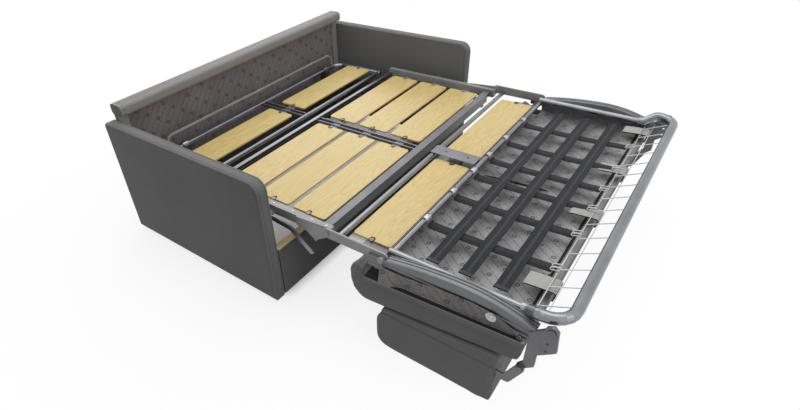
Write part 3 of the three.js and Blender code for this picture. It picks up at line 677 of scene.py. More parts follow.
class Finishes:
    """Every finish of the sofa, each made once."""

    def __init__(self) -> None:
        """Makes the materials."""
        self.cover = Upholstery().material()
        # A paler copy of the cover cloth, laid on the arms' inner, top and upper front faces: painted light
        # where the lamps fall most.
        self.painted_lit_cover = Upholstery("painted_lit_cover_cloth", grey(0.43), grey(0.47)).material()
        self.cushion = Upholstery("cushion_cloth", grey(0.415), grey(0.455)).material()
        # A paler copy of the cover cloth: painted light on the roll, the turned-in strips and the felt's
        # border.
        self.roll = Upholstery("painted_lit_roll_cloth", (0.56, 0.555, 0.55), (0.60, 0.595, 0.59)).material()
        # A paler copy of the cushion cloth, laid on the welt's upper faces as a painted highlight.
        self.painted_highlight_cord = Upholstery("seam_cord_painted_highlight", grey(0.52), grey(0.58)).material()
        ink = (0.130, 0.125, 0.140)
        self.back_lining = Lining("back_lining_felt", Plane.BACK, (0.540, 0.515, 0.525), ink).material()
        self.seat_lining = Lining("seat_lining_felt", Plane.FLOOR, (0.740, 0.735, 0.735), ink).material()
        self.side_lining = Lining("side_lining_felt", Plane.SIDE, (0.600, 0.585, 0.580), ink).material()
        self.birch = Birch().material()
        self.timber = Timber().material()
        self.silver = Metal("silver_paint", (0.50, 0.505, 0.52), (0.56, 0.565, 0.58), (0.20, 0.30),
                            coat=0.1).material()
        self.steel = Metal("grey_steel_paint", (0.40, 0.40, 0.41), (0.46, 0.46, 0.47), (0.34, 0.5), 0.6,
                           coat=0.15).material()
        self.rail = Metal("light_rail_paint", grey(0.52), grey(0.59), (0.36, 0.5), 0.25, coat=0.15).material()
        self.channel = Metal("channel_paint", (0.43, 0.435, 0.44), (0.47, 0.475, 0.48), (0.34, 0.44),
                             0.5).material()
        self.warm_rod = Metal("warm_grey_rod", (0.52, 0.50, 0.475), (0.58, 0.56, 0.535), (0.45, 0.6),
                              0.1).material()
        self.wire = Metal("bright_wire", (0.70, 0.70, 0.71), (0.80, 0.80, 0.81), (0.25, 0.38), 0.8).material()
        self.plastic = Plastic("black_plastic", (0.055, 0.055, 0.058), (0.095, 0.095, 0.10)).material()
        # Black cloth for the felt's binding and seam, also laid in the seat's side slots and hollows as
        # painted shade.
        self.black_cloth_and_painted_shade = Plastic("black_cloth_and_painted_shade", (0.020, 0.020, 0.021), (0.035, 0.035, 0.036),
                                   (0.9, 0.95)).material()
        self.cross_web = Webbing("cross_webbing").material()
        self.long_web = Webbing("long_webbing", line_share=0.25).material()
        self.tab = Upholstery("tab_cloth", (0.66, 0.66, 0.645), (0.74, 0.74, 0.725), 0.0022, 0.1).material()


# Modelling by hand


def deselect() -> None:
    """Leaves object mode with nothing selected."""
    if bpy.context.object and bpy.context.object.mode != "OBJECT":
        bpy.ops.object.mode_set(mode="OBJECT")
    bpy.ops.object.select_all(action="DESELECT")


def choose(obj: Piece) -> None:
    """Selects one object only, and makes it active.

    Args:
        obj: the object.
    """
    deselect()
    obj.select_set(True)
    bpy.context.view_layer.objects.active = obj


def named(obj: Piece, name: str) -> Piece:
    """Names an object and its mesh alike, and returns it."""
    obj.name = obj.data.name = name
    return obj


def settle(obj: Piece) -> None:
    """Puts the object's place into its mesh, so that its own origin is the frame's."""
    choose(obj)
    bpy.ops.object.transform_apply(location=True, rotation=True, scale=True)


def block(name: str, low: Place, high: Place) -> Piece:
    """Adds a box between two corners.

    Args:
        name: the piece's name.
        low: the corner with the lowest X, Y and Z.
        high: the corner with the highest.

    Returns:
        The box.
    """
    deselect()
    low, high = Vector(low), Vector(high)
    bpy.ops.mesh.primitive_cube_add(size=1, location=(low + high) / 2)
    obj = named(bpy.context.active_object, name)
    obj.scale = high - low
    settle(obj)
    return obj


class Pick(str, Enum):
    """What edit mode selects."""

    POINTS = "VERT"
    EDGES = "EDGE"
    FACES = "FACE"


def select(obj: Piece, kind: Pick, test: Test) -> None:
    """Enters edit mode and selects by place.

    Args:
        obj: the object.
        kind: what is selected.
        test: is given each element's middle, and a face's normal, an edge's run, or zero for a point.
    """
    if bpy.context.object is not obj or obj.mode != "EDIT":
        choose(obj)
        bpy.ops.object.mode_set(mode="EDIT")
    bpy.ops.mesh.select_mode(type=kind.value)
    bpy.ops.mesh.select_all(action="DESELECT")
    mesh = bmesh.from_edit_mesh(obj.data)
    if kind is Pick.POINTS:
        found = [v for v in mesh.verts if test(v.co, Vector())]
    elif kind is Pick.EDGES:
        found = [e for e in mesh.edges if test((e.verts[0].co + e.verts[1].co) / 2,
                                               (e.verts[1].co - e.verts[0].co).normalized())]
    else:
        found = [f for f in mesh.faces if test(f.calc_center_median(), f.normal)]
    for element in found:
        element.select_set(True)
    mesh.select_flush_mode()
    bmesh.update_edit_mesh(obj.data)


def leave_edit() -> None:
    """Goes back to object mode."""
    bpy.ops.object.mode_set(mode="OBJECT")


def round_edges(obj: Piece, test: Test, radius: float, segments: int) -> None:
    """Rounds off the edges that a test picks, and stays in edit mode."""
    select(obj, Pick.EDGES, test)
    bpy.ops.mesh.bevel(offset=radius, segments=segments, affect="EDGES")


def shift_points(obj: Piece, test: Test, move: Place) -> None:
    """Moves the points that a test picks, and stays in edit mode."""
    select(obj, Pick.POINTS, test)
    bpy.ops.transform.translate(value=move)


def cut_round(obj: Piece, place: Place, normal: Place) -> None:
    """Adds a line of points where a plane crosses the piece, and stays in edit mode."""
    select(obj, Pick.FACES, lambda middle, run: True)
    bpy.ops.mesh.bisect(plane_co=place, plane_no=normal)


def inset(*steps: Couple) -> None:
    """Insets the selected faces step by step, each by a width and a depth."""
    for width, depth in steps:
        bpy.ops.mesh.inset(thickness=width, depth=depth)


def thicken(obj: Piece, thickness: float) -> None:
    """Turns a skin into a sheet, half of it on each side.

    Args:
        obj: the skin.
        thickness: the sheet's thickness.
    """
    thick = obj.modifiers.new("thick", "SOLIDIFY")
    thick.thickness = thickness
    thick.offset = 0
    apply_modifiers(obj)


def apply_modifiers(obj: Piece) -> None:
    """Applies every modifier in order.

    Args:
        obj: the piece.
    """
    choose(obj)
    for modifier in list(obj.modifiers):
        bpy.ops.object.modifier_apply(modifier=modifier.name)


def dress(obj: Piece, material: Material) -> None:
    """Gives the object one material, and smooth shading up to a sharp angle.

    Args:
        obj: the piece.
        material: its finish.
    """
    obj.data.materials.clear()
    obj.data.materials.append(material)
    choose(obj)
    bpy.ops.object.shade_smooth_by_angle(angle=SMOOTH_ANGLE)


def add_finish(obj: Piece, material: Material, test: Test) -> None:
    """Adds a second material to a dressed object.

    Args:
        obj: the piece.
        material: the second finish.
        test: is given a face's middle and normal, and picks the faces that take it.
    """
    obj.data.materials.append(material)
    index = len(obj.data.materials) - 1
    for face in obj.data.polygons:
        if test(face.center, face.normal):
            face.material_index = index


def joined(name: str, parts: Sequence[Piece]) -> Piece:
    """Joins several objects into one.

    Args:
        name: the whole's name.
        parts: the objects.

    Returns:
        The whole.
    """
    deselect()
    for part in parts:
        part.select_set(True)
    bpy.context.view_layer.objects.active = parts[0]
    if len(parts) > 1:
        bpy.ops.object.join()
    return named(bpy.context.active_object, name)


def mirrored(obj: Piece) -> Piece:
    """Copies a piece to the other side of the sofa's middle plane.

    Args:
        obj: the piece.

    Returns:
        The copy, with its own mesh.
    """
    twin = obj.copy()
    twin.data = obj.data.copy()
    bpy.context.scene.collection.objects.link(twin)
    twin.data.transform(Matrix.Scale(-1, 4, (1, 0, 0)))
    twin.data.flip_normals()
    return twin


def smooth_line(name: str, points: Iterable[Place], radius: float, closed: bool = False) -> Piece:
    """Makes a thin round cord or rod along points, as a mesh.

    Args:
        name: the piece's name.
        points: the places that it runs through.
        radius: its radius.
        closed: whether it comes back to its start.

    Returns:
        The mesh object.
    """
    curve = bpy.data.curves.new(name, "CURVE")
    curve.dimensions = "3D"
    curve.bevel_depth = radius
    curve.bevel_resolution = 1
    curve.use_fill_caps = not closed
    line = curve.splines.new("POLY")
    places = [Vector(p) for p in points]
    line.points.add(len(places) - 1)
    for point, place in zip(line.points, places):
        point.co = (*place, 1)
    line.use_cyclic_u = closed
    obj = bpy.data.objects.new(name, curve)
    bpy.context.scene.collection.objects.link(obj)
    choose(obj)
    bpy.ops.object.convert(target="MESH")
    return named(bpy.context.active_object, name)


def rod(name: str, start: Place, end: Place, radius: float, sides: int,
        round_off: float) -> Piece:
    """Adds a round rod between two points.

    Args:
        name: the piece's name.
        start: the middle of one end.
        end: the middle of the other.
        radius: its radius.
        sides: how many sides its section has.
        round_off: how far its end edges are rounded off.

    Returns:
        The rod.
    """
    deselect()
    start, end = Vector(start), Vector(end)
    run = end - start
    bpy.ops.mesh.primitive_cylinder_add(vertices=sides, radius=radius, depth=run.length,
                                        location=(start + end) / 2)
    obj = named(bpy.context.active_object, name)
    obj.rotation_euler = run.to_track_quat("Z", "Y").to_euler()
    settle(obj)
    direction = run.normalized()
    round_edges(obj, lambda middle, along: abs(along.dot(direction)) < 0.5, round_off, 2)
    leave_edit()
    return obj


def surface_tree(obj: Piece) -> BVHTree:
    """The object's finished surface, for finding places on it."""
    return BVHTree.FromObject(obj, bpy.context.evaluated_depsgraph_get())


def pulled_onto(tree: BVHTree, points: Iterable[Vector], lift: float) -> list[Vector]:
    """Moves each point to the nearest place on a surface, a little proud of it.

    Args:
        tree: the surface.
        points: the points.
        lift: how far each ends outside the surface.

    Returns:
        The moved points.
    """
    moved = []
    for point in points:
        place, normal, _, _ = tree.find_nearest(point)
        moved.append(place + normal * lift)
    return moved


def height_on(tree: BVHTree, x: float, y: float, otherwise: float) -> float:
    """The height of a surface at a place seen from above, or another height where it has none."""
    hit = tree.ray_cast(Vector((x, y, 1.0)), Vector((0, 0, -1)))[0]
    return hit.z if hit else otherwise


def between(a: Vector, b: Vector, step: float) -> list[Vector]:
    """Evenly spaced points from a up to, but not including, b, about a step apart."""
    count = max(1, round((b - a).length / step))
    return [a.lerp(b, i / count) for i in range(count)]


def walk(corners: Sequence[Vector], step: float, closed: bool = False) -> list[Vector]:
    """Evenly spaced points along a line with corners, back to its start if it is closed."""
    ends = corners[1:] + corners[:1] if closed else corners[1:]
    return [point for a, b in zip(corners, ends) for point in between(a, b, step)]


def evenly(start: float, end: float, count: int) -> list[float]:
    """Evenly spaced places from start to end, both included."""
    return [start + (end - start) * i / count for i in range(count + 1)]


def waved(waves: Sequence[Place], *place: float) -> float:
    """Adds up waves, each with its height and then how far it turns for each unit of each coordinate."""
    return sum(row[0] * math.sin(sum(turn * p for turn, p in zip(row[1:], place))) for row in waves)


def slackness(waves: Sequence[Place], *place: float) -> float:
    """How far a slack sheet stands out at a place: two waves that cross, and a finer one."""
    first, second, fine = (waved((wave,), *place) for wave in waves)
    return first * second + fine


def report(obj: Piece, body: str, replaced: Sequence[str] = ()) -> Piece:
    """Hands a finished piece to the frame.

    Args:
        obj: the piece.
        body: the body that it rides on.
        replaced: the CAD nodes that it stands for.

    Returns:
        The piece.
    """
    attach(obj, body)
    if replaced:
        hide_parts(*replaced)
    LOG.info("%s rides on %s, %d faces", obj.name, body, len(obj.data.polygons))
    return obj


# Padding


@dataclass(frozen=True)
class Padding:
    """How a stuffed piece swells: a cloth skin under pressure, held to a cap."""

    voxel: float = 0.012
    pressure: float = 4.0
    frames: int = 20
    cap: float = 0.009
    mass: float = 0.3
    stretch_stiffness: float = 12
    shear_stiffness: float = 6
    bending_stiffness: float = 0.6
    quality: int = 4
    relax_share: float = 0.5
    relax_rounds: int = 6

    def swell(self, obj: Piece, give: Callable[[Vector], float]) -> None:
        """Remeshes the piece, swells it, and subdivides it.

        Args:
            obj: the piece, in its slack shape.
            give: the share from 0 to 1 of the cap that a place may move.
        """
        choose(obj)
        obj.data.remesh_voxel_size = self.voxel
        bpy.ops.object.voxel_remesh()
        rest = [v.co.copy() for v in obj.data.vertices]
        shapes = self._simulated(obj)
        for vertex, start, end in zip(obj.data.vertices, rest, shapes):
            move = end - start
            limit = self.cap * give(start)
            if move.length > limit:
                move = move.normalized() * limit
            vertex.co = start + move
        self._soften(obj)

    def _simulated(self, obj: Piece) -> list[Vector]:
        """Runs the cloth.

        Args:
            obj: the piece.

        Returns:
            Where each vertex ends.
        """
        modifier = obj.modifiers.new("swell", "CLOTH")
        settings = modifier.settings
        settings.use_pressure = True
        settings.uniform_pressure_force = self.pressure
        settings.mass = self.mass
        settings.tension_stiffness = self.stretch_stiffness
        settings.compression_stiffness = self.stretch_stiffness
        settings.shear_stiffness = self.shear_stiffness
        settings.bending_stiffness = self.bending_stiffness
        settings.effector_weights.gravity = 0
        settings.quality = self.quality
        modifier.collision_settings.use_collision = False
        modifier.point_cache.frame_start = 1
        modifier.point_cache.frame_end = self.frames
        scene = bpy.context.scene
        for frame in range(1, self.frames + 1):
            scene.frame_set(frame)
        evaluated = obj.evaluated_get(bpy.context.evaluated_depsgraph_get())
        places = [v.co.copy() for v in evaluated.data.vertices]
        obj.modifiers.remove(modifier)
        scene.frame_set(1)
        return places

    def _soften(self, obj: Piece) -> None:
        """Evens out the remeshed skin and adds one subdivision.

        Args:
            obj: the piece.
        """
        relax = obj.modifiers.new("relax", "SMOOTH")
        relax.factor = self.relax_share
        relax.iterations = self.relax_rounds
        fine = obj.modifiers.new("fine", "SUBSURF")
        fine.levels = 1
        fine.render_levels = 1
        apply_modifiers(obj)


def profiled_pad(name: str, half_width: float, rows: Sequence[Row]) -> Piece:
    """Shapes a box into a pad whose side outline is given row by row.

    Args:
        name: the piece's name.
        half_width: half its width along X.
        rows: the Y, lowest Z and highest Z of each row, from the back to the front.

    Returns:
        The pad.
    """
    first, last = rows[0], rows[-1]
    pad = block(name, (-half_width, last[0], 0.0), (half_width, first[0], 1.0))
    for y, _, _ in rows[1:-1]:
        cut_round(pad, (0, y, 0), (0, 1, 0))
    for y, low, high in rows:
        shift_points(pad, lambda place, _: abs(place.y - y) < NEAR and place.z > 0.5, (0, 0, high - 1))
        shift_points(pad, lambda place, _: abs(place.y - y) < NEAR and abs(place.z) < NEAR, (0, 0, low))
    leave_edit()
    return pad


def rounded_rows(front: float, rear: float, low: float, high: float, front_round: float, rear_round: float,
                 steps: int = 5, first_turn: float = 12) -> list[Row]:
    """Rows of a pad whose ends are rounded.

    Args:
        front: the Y of the end nearer the sofa's back.
        rear: the Y of the other end.
        low: the pad's lowest Z.
        high: its highest Z.
        front_round: the radius at the first end.
        rear_round: the radius at the other end.
        steps: how many rows each rounding takes.
        first_turn: where on its arc, in degrees, each rounding starts.

    Returns:
        The Y, lowest Z and highest Z of each row.
    """
    rows = []
    sweep = 90 - first_turn
    for i in range(steps + 1):
        turn = math.radians(first_turn + sweep * i / steps)
        drop = front_round * (1 - math.sin(turn))
        rows.append((front - front_round * (1 - math.cos(turn)), low + drop, high - drop))
    for i in range(steps + 1):
        turn = math.radians(90 - sweep * i / steps)
        drop = rear_round * (1 - math.sin(turn))
        rows.append((rear + rear_round * (1 - math.cos(turn)), low + drop, high - drop))
    return rows


def outline(rows: Sequence[Row], x: float, rise: float) -> list[Vector]:
    """A pad's side outline in a plane across X, with its lower line raised a little."""
    top = [Vector((x, y, high)) for y, _, high in rows]
    return top + [Vector((x, y, low + rise)) for y, low, _ in reversed(rows)]


# Upholstered body


@dataclass
class Arms:
    """The two thin upholstered arms: flat sewn panels joined by a band, with a seam round each panel."""

    finishes: Finishes
    corner: float = 0.052
    corner_segments: int = 12
    heel: float = 0.018
    heel_segments: int = 5
    edge_round: float = 0.009
    seam_inset: float = 0.004
    groove: float = 0.0016
    groove_rise_share: float = 1.3
    panel_area: float = 0.05
    crown: float = 0.0022
    painted_light_front_drop: float = 0.36
    stitch_inset: float = 0.0115
    stitch_rise: float = -0.0003
    stitch_radius: float = 0.0015
    stitch_start: float = 0.03
    stitch_end: float = 0.02
    stitch_step: float = 0.010
    stitch_turns: int = 7
    crown_shares: tuple[Couple, ...] = ((0.97, 0.3), (0.93, 0.3), (0.80, 0.3), (0.6, 0.1))

    def build(self) -> None:
        """Makes and reports both arms."""
        for word in SIDES:
            arm = self._arm(f"arm_{word}")
            report(arm, "root", [f"arm_{word}"])

    def _arm(self, node: str) -> Piece:
        """Shapes one arm inside its node's box.

        Args:
            node: the CAD node that it stands for.

        Returns:
            The arm with its seams.
        """
        low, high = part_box(node)
        shrink = Vector((self.crown, 0, 0))
        low, high = low + shrink, high - shrink
        arm = block(f"{node}_cover", low, high)
        self._round_corner(arm, low.y, high.z, self.corner, self.corner_segments)
        self._round_corner(arm, high.y, high.z, self.heel, self.heel_segments)
        round_edges(arm, lambda middle, run: abs(run.x) < 0.5 and (
            abs(middle.x - low.x) < NEAR or abs(middle.x - high.x) < NEAR), self.edge_round, 5)
        select(arm, Pick.FACES, lambda middle, normal: abs(normal.x) > 0.99)
        inset((self.seam_inset, 0), (self.groove, -self.groove),
              (self.groove, self.groove * self.groove_rise_share))
        leave_edit()
        for sign in SIDES.values():
            self._crown_face(arm, sign)
        dress(arm, self.finishes.cover)
        # The inner face, the top and the upper front take the paler cover cloth: painted light on the arm's
        # lit faces.
        inwards = -1 if low.x > 0 else 1
        painted_light_from = high.z - self.painted_light_front_drop
        add_finish(arm, self.finishes.painted_lit_cover, lambda middle, normal: inwards * normal.x > 0.8 or (
            abs(normal.x) < 0.8 and (normal.z > 0.1 or (normal.y < -0.5 and middle.z > painted_light_from))))
        tree = surface_tree(arm)
        stitches = [self._stitch(tree, x, low, high)
                    for x in (low.x + self.stitch_inset, high.x - self.stitch_inset)]
        return joined(f"{node}_cover", [arm, *stitches])

    def _stitch(self, tree: BVHTree, x: float, low: Vector, high: Vector) -> Piece:
        """Lays a sewn seam along the band over the arm's top and down its front.

        Args:
            tree: the arm's surface.
            x: where the seam runs.
            low: the arm's lowest corner.
            high: its highest corner.

        Returns:
            The seam.
        """
        corners = [Vector((x, high.y - self.stitch_start, high.z)), Vector((x, low.y + self.corner, high.z))]
        for step in range(1, self.stitch_turns + 1):
            turn = math.radians(90 * step / self.stitch_turns)
            corners.append(Vector((x, low.y + self.corner * (1 - math.sin(turn)),
                                   high.z - self.corner * (1 - math.cos(turn)))))
        corners.append(Vector((x, low.y, low.z + self.stitch_end)))
        points = pulled_onto(tree, walk(corners, self.stitch_step), self.stitch_rise)
        stitch = smooth_line("stitch", points, self.stitch_radius)
        dress(stitch, self.finishes.cover)
        return stitch

    def _crown_face(self, arm: Piece, sign: int) -> None:
        """Fills one side panel out a little towards its middle.

        Args:
            arm: the arm.
            sign: the side that the panel faces.
        """
        face_x = max(sign * face.center.x for face in arm.data.polygons
                     if abs(face.normal.x) > 0.99 and face.area > self.panel_area)
        select(arm, Pick.FACES, lambda middle, normal: abs(sign * middle.x - face_x) < NEAR
               and sign * normal.x > 0.99)
        for share, rise in self.crown_shares:
            move = (sign * self.crown * rise, 0, 0)
            bpy.ops.mesh.extrude_region_move(TRANSFORM_OT_translate={"value": move})
            bpy.ops.transform.resize(value=(1, share, share))
        leave_edit()

    @staticmethod
    def _round_corner(arm: Piece, y: float, z: float, radius: float, segments: int) -> None:
        """Rounds the corner that runs across the arm at a given Y and Z."""
        round_edges(arm, lambda middle, run: abs(run.x) > 0.9 and abs(middle.y - y) < NEAR
                    and abs(middle.z - z) < NEAR, radius, segments)


@dataclass
class Back:
    """The back: a board in cover cloth with a padded roll on top, and printed felt on its inner face."""

    finishes: Finishes
    roll_height: float = 0.054
    board: float = 0.036
    roll_round: float = 0.017
    roll_end_insets: Couple = (0.004, 0.01)
    seam_from_end: float = 0.016
    groove: float = 0.0018
    groove_depth_share: float = 0.94
    groove_rise_share: float = 1.3
    board_sink: float = 0.002
    board_round: float = 0.007
    board_seam_inset: float = 0.006
    board_crown: Couple = (0.05, 0.0012)
    felt: float = 0.0016
    felt_wave: float = 0.0008
    felt_waves: tuple[Row, ...] = ((1, 21, 9), (1, -5, 17), (0.5, 47, 31))
    seam_gap: float = 0.0007
    flap_depth: float = 0.010
    flap_round_share: float = 0.8
    flap_foot: float = 0.04
    low: Vector = field(init=False)
    high: Vector = field(init=False)

    def __post_init__(self) -> None:
        """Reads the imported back's corners."""
        self.low, self.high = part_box("back_panel")

    def build(self) -> None:
        """Makes and reports the board with its roll, and the felt."""
        roll = self._roll()
        board = self._board()
        dress(board, self.finishes.cover)
        # The roll takes the paler copy of the cover cloth as painted light; its ends, facing sideways, keep
        # the darker cover cloth.
        dress(roll, self.finishes.roll)
        add_finish(roll, self.finishes.cover, lambda middle, normal: abs(normal.x) > 0.9)
        flaps = [self._flap(sign) for sign in SIDES.values()]
        whole = joined("back_cover", [board, roll, *flaps])
        report(whole, "root", ["back_panel"])
        self._felt()

    def _roll(self) -> Piece:
        """Shapes the padded roll, with a seam near each end.

        Returns:
            The roll.
        """
        roll = block("roll", (self.low.x, self.low.y, self.high.z - self.roll_height), self.high)
        round_edges(roll, lambda middle, run: abs(run.x) > 0.9, self.roll_round, 7)
        for end in (self.low.x, self.high.x):
            inwards = 1 if end < 0 else -1
            self._groove(roll, end + inwards * self.seam_from_end)
        select(roll, Pick.FACES, lambda middle, normal: abs(normal.x) > 0.99)
        inset(*((width, 0) for width in self.roll_end_insets))
        leave_edit()
        return roll

    def _flap(self, sign: int) -> Piece:
        """Shapes the strip of cover cloth that is turned in between the felt and one arm.

        Args:
            sign: the arm's side.

        Returns:
            The strip.
        """
        felt_low, felt_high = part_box("back_lining")
        inner, outer = felt_high.x + self.seam_gap, self.high.x - self.seam_gap
        start, end = sorted((sign * inner, sign * outer))
        front = felt_low.y - self.flap_depth
        foot = self.low.z + self.flap_foot
        flap = block(f"flap_{sign}", (start, front, foot), (end, felt_high.y, felt_high.z))
        round_edges(flap, lambda middle, run: abs(middle.y - front) < NEAR,
                    self.flap_depth * self.flap_round_share, 4)
        leave_edit()
        # The strip is cover cloth, dressed in its paler copy: painted light against the shade that falls on
        # it.
        dress(flap, self.finishes.roll)
        return flap

    def _groove(self, roll: Piece, x: float) -> None:
        """Sinks a narrow ring round the roll.

        Args:
            roll: the roll.
            x: the ring's place along it.
        """
        for shift in (-self.groove, 0, self.groove):
            cut_round(roll, (x + shift, 0, 0), (1, 0, 0))
        select(roll, Pick.POINTS, lambda place, _: abs(place.x - x) < NEAR)
        bpy.ops.transform.resize(value=(1, self.groove_depth_share, self.groove_depth_share))

    def _board(self) -> Piece:
        """Shapes the board below the roll, crowned at the back with a seam round it.

        Returns:
            The board.
        """
        rear = self.high.y - self.board_sink
        inside = Vector((self.seam_gap * 2, 0, 0))
        board = block("board", Vector((self.low.x, self.high.y - self.board, self.low.z)) + inside,
                      Vector((self.high.x, rear, self.high.z - self.roll_height / 2)) - inside)
        round_edges(board, lambda middle, run: abs(middle.y - rear) < NEAR, self.board_round, 3)
        select(board, Pick.FACES, lambda middle, normal: normal.y > 0.99)
        inset((self.board_seam_inset, 0), (self.groove, -self.groove),
              (self.groove, self.groove * self.groove_rise_share), self.board_crown)
        leave_edit()
        return board

    def _felt(self) -> None:
        """Stretches the printed felt over the inner face, a little slack between its tacks."""
        low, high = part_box("back_lining")
        width, height = high.x - low.x, high.z - low.z
        deselect()
        bpy.ops.mesh.primitive_grid_add(x_subdivisions=96, y_subdivisions=40, size=1)
        felt = named(bpy.context.active_object, "back_felt")
        felt.scale = (width, height, 1)
        felt.rotation_euler = (math.pi / 2, 0, 0)
        felt.location = ((low.x + high.x) / 2, (low.y + high.y) / 2, (low.z + high.z) / 2)
        settle(felt)
        for vertex in felt.data.vertices:
            vertex.co.y += self.felt_wave * slackness(self.felt_waves, vertex.co.x, vertex.co.z)
        thicken(felt, self.felt)
        dress(felt, self.finishes.back_lining)
        report(felt, "root", ["back_lining"])


@dataclass
class FrontRail:
    """The upholstered rail across the front, under the bed's way out."""

    finishes: Finishes
    top_round: float = 0.009
    sink: float = 0.002
    seam_below_top: float = 0.016
    groove: float = 0.0016

    def build(self) -> None:
        """Makes and reports the rail."""
        low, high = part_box("front_rail")
        rail = block("front_rail_cover", low + Vector((0, self.sink, 0)), high)
        round_edges(rail, lambda middle, run: abs(run.x) > 0.9 and abs(middle.z - high.z) < NEAR,
                    self.top_round, 5)
        seam = high.z - self.seam_below_top
        for shift in (-self.groove, 0, self.groove):
            cut_round(rail, (0, 0, seam + shift), (0, 0, 1))
        shift_points(rail, lambda place, _: abs(place.z - seam) < NEAR and place.y < low.y + self.sink + NEAR,
                     (0, self.groove, 0))
        leave_edit()
        dress(rail, self.finishes.cover)
        report(rail, "root", ["front_rail"])


# Cushions


@dataclass
class SeatPad:
    """The seat, turned upside down under the bed: padding, sewn side panels, printed felt and side slots."""

    finishes: Finishes
    padding: Padding = Padding(voxel=0.011, cap=0.006)
    fill_share: float = 0.85
    slack: float = 0.004
    slack_share: float = 0.6
    pulled_rows: tuple[int, int] = (5, 3)
    side_round: float = 0.004
    nose_under: float = 0.008
    rear_over: float = 0.060
    top_behind_nose: float = 0.062
    top_under: Couple = (0.046, 0.0193)
    nose_rows: tuple[Row, ...] = (
        (0.0015, 0.090, 0.045), (0.006, 0.064, 0.022), (0.015, 0.042, 0.009), (0.029, 0.025, 0.002),
        (0.045, 0.013, 0.0005), (0.058, 0.006, 0.006), (0.067, 0.003, 0.022))
    rows_behind_nose: Couple = (0.074, 0.13)
    rows_before_rear: Couple = (0.05, 0.016)
    rear_rows: tuple[Row, ...] = ((0.006, 0.006, 0.004), (0.001, 0.016, 0.014))
    bottom_rise: float = 0.0005
    felt_band: float = 0.02
    felt_give_share: float = 0.25
    side_band: float = 0.03
    side_give_share: float = 0.6
    gather: float = 0.0032
    gather_nose: float = 0.045
    gather_side: float = 0.09
    gather_height: float = 0.320
    gather_fade: float = 0.010
    gather_waves: tuple[tuple[float, ...], ...] = ((1.0, 300, 90, 0), (0.8, 150, -190, 70))
    seam_radius: float = 0.0014
    seam_inset: float = 0.004
    seam_step: float = 0.012
    lip_thickness: float = 0.003
    lip_rise: Couple = (0.003, 0.012)
    lip_out: float = 0.0005
    lip_base: float = 0.014
    lip_width: float = 0.03
    lip_stations: int = 36
    welt_shoulder: float = 0.0022
    welt_outer: Couple = (0.0006, 0.0006)
    welt_inner: Couple = (0.0004, 0.0008)
    felt: float = 0.0014
    felt_gap: float = 0.001
    felt_front: float = 0.012
    felt_foot: float = 0.006
    felt_lift: float = 0.0030
    felt_wave: float = 0.0009
    felt_waves: tuple[Row, ...] = ((1, 13, 11), (1, -4, 19), (0.4, 41, 27))
    over_felt: float = 0.0062
    border_inset: float = 0.012
    border: Couple = (0.027, 0.001)
    binding: Couple = (0.037, 0.0265)
    slits: tuple[Row, ...] = ((-0.010, -0.44, -0.90), (0.034, -0.42, -0.70))
    slit_width: float = 0.0130
    slit_half: float = 0.0056
    slit_end_half: float = 0.0004
    slit_crown: float = 0.0006
    slit_drift: tuple[Couple, ...] = ((0.006, 2.4),)
    slot_width: float = 0.0190
    slot_start: float = -0.455
    slot_end: float = -0.914
    slot_taper: float = 0.03
    slot_under_felt: float = 0.010
    slot_from_lip: float = 0.0006
    slot_overrun: float = 0.002
    slot_lift: float = 0.0012
    hollow_under_felt: float = 0.030
    hollow_behind_step: float = 0.044
    hollow_length: float = 0.052
    step_y: float = -0.358
    gusset_x: float = 0.7706
    gusset_from_felt: float = 0.0008
    gusset_lift: float = 0.0045
    gusset_least: float = 0.002
    gusset_width: float = 0.06
    gusset_steps: int = 7
    gusset_bulge: float = 0.0008
    gusset_creases: tuple[Row, ...] = ((0.0006, 95, 0), (0.0004, 41, 1.3))
    gusset_top: tuple[Couple, ...] = (
        (-0.350, 0.388), (-0.492, 0.388), (-0.560, 0.395), (-0.644, 0.405), (-0.700, 0.410), (-0.748, 0.411),
        (-0.800, 0.403), (-0.849, 0.390), (-0.885, 0.372), (-0.925, 0.352))
    stud_place: Couple = (-0.807, 0.390)
    stud_radius: float = 0.0175
    stud_thickness: float = 0.003
    stud_out: float = 0.0032
    stud_insets: tuple[Couple, ...] = (
        (0.0035, 0), (0.002, -0.0012), (0.005, 0), (0.0015, 0.0025))
    half_width: float = field(init=False)
    bottom_line: tuple[Couple, ...] = field(init=False)
    top_line: tuple[Couple, ...] = field(init=False)
    rows: list[Row] = field(init=False)
    tree: BVHTree = field(init=False)

    def __post_init__(self) -> None:
        """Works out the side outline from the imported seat."""
        low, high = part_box("seat_cushion")
        nose, rear = high.y, low.y
        self.half_width = high.x
        self.bottom_line = ((nose, low.z - self.nose_under), (rear, low.z + self.rear_over))
        self.top_line = ((nose - self.top_behind_nose, high.z - self.top_under[0]),
                         (rear, high.z - self.top_under[1]))
        self.rows = [(nose - depth, self._bottom_at(nose - depth) + lift, high.z - drop)
                     for depth, lift, drop in self.nose_rows]
        first, second = (nose - depth for depth in self.rows_behind_nose)
        last = (rear + depth for depth in self.rows_before_rear)
        self.rows += [(y, self._bottom_at(y) + self.bottom_rise, self._top_at(y))
                      for y in (first, self.step_y, second, (nose + rear) / 2, *last)]
        self.rows += [(rear + depth, self._bottom_at(rear) + lift, self._top_at(rear) - drop)
                      for depth, lift, drop in self.rear_rows]

    @staticmethod
    def _on_line(line: Sequence[Couple], y: float) -> float:
        """The height of a straight line at a place along it."""
        (y0, z0), (y1, z1) = line
        return z0 + (z1 - z0) * (y - y0) / (y1 - y0)

    def _bottom_at(self, y: float) -> float:
        """The height of the pad's lower face."""
        return self._on_line(self.bottom_line, y)

    def _top_at(self, y: float) -> float:
        """The height of the pad's upper face behind its nose."""
        return self._on_line(self.top_line, y)

    def _before_foot(self, distance: float) -> float:
        """A place that far before the pad's foot edge."""
        return self.rows[-1][0] + distance

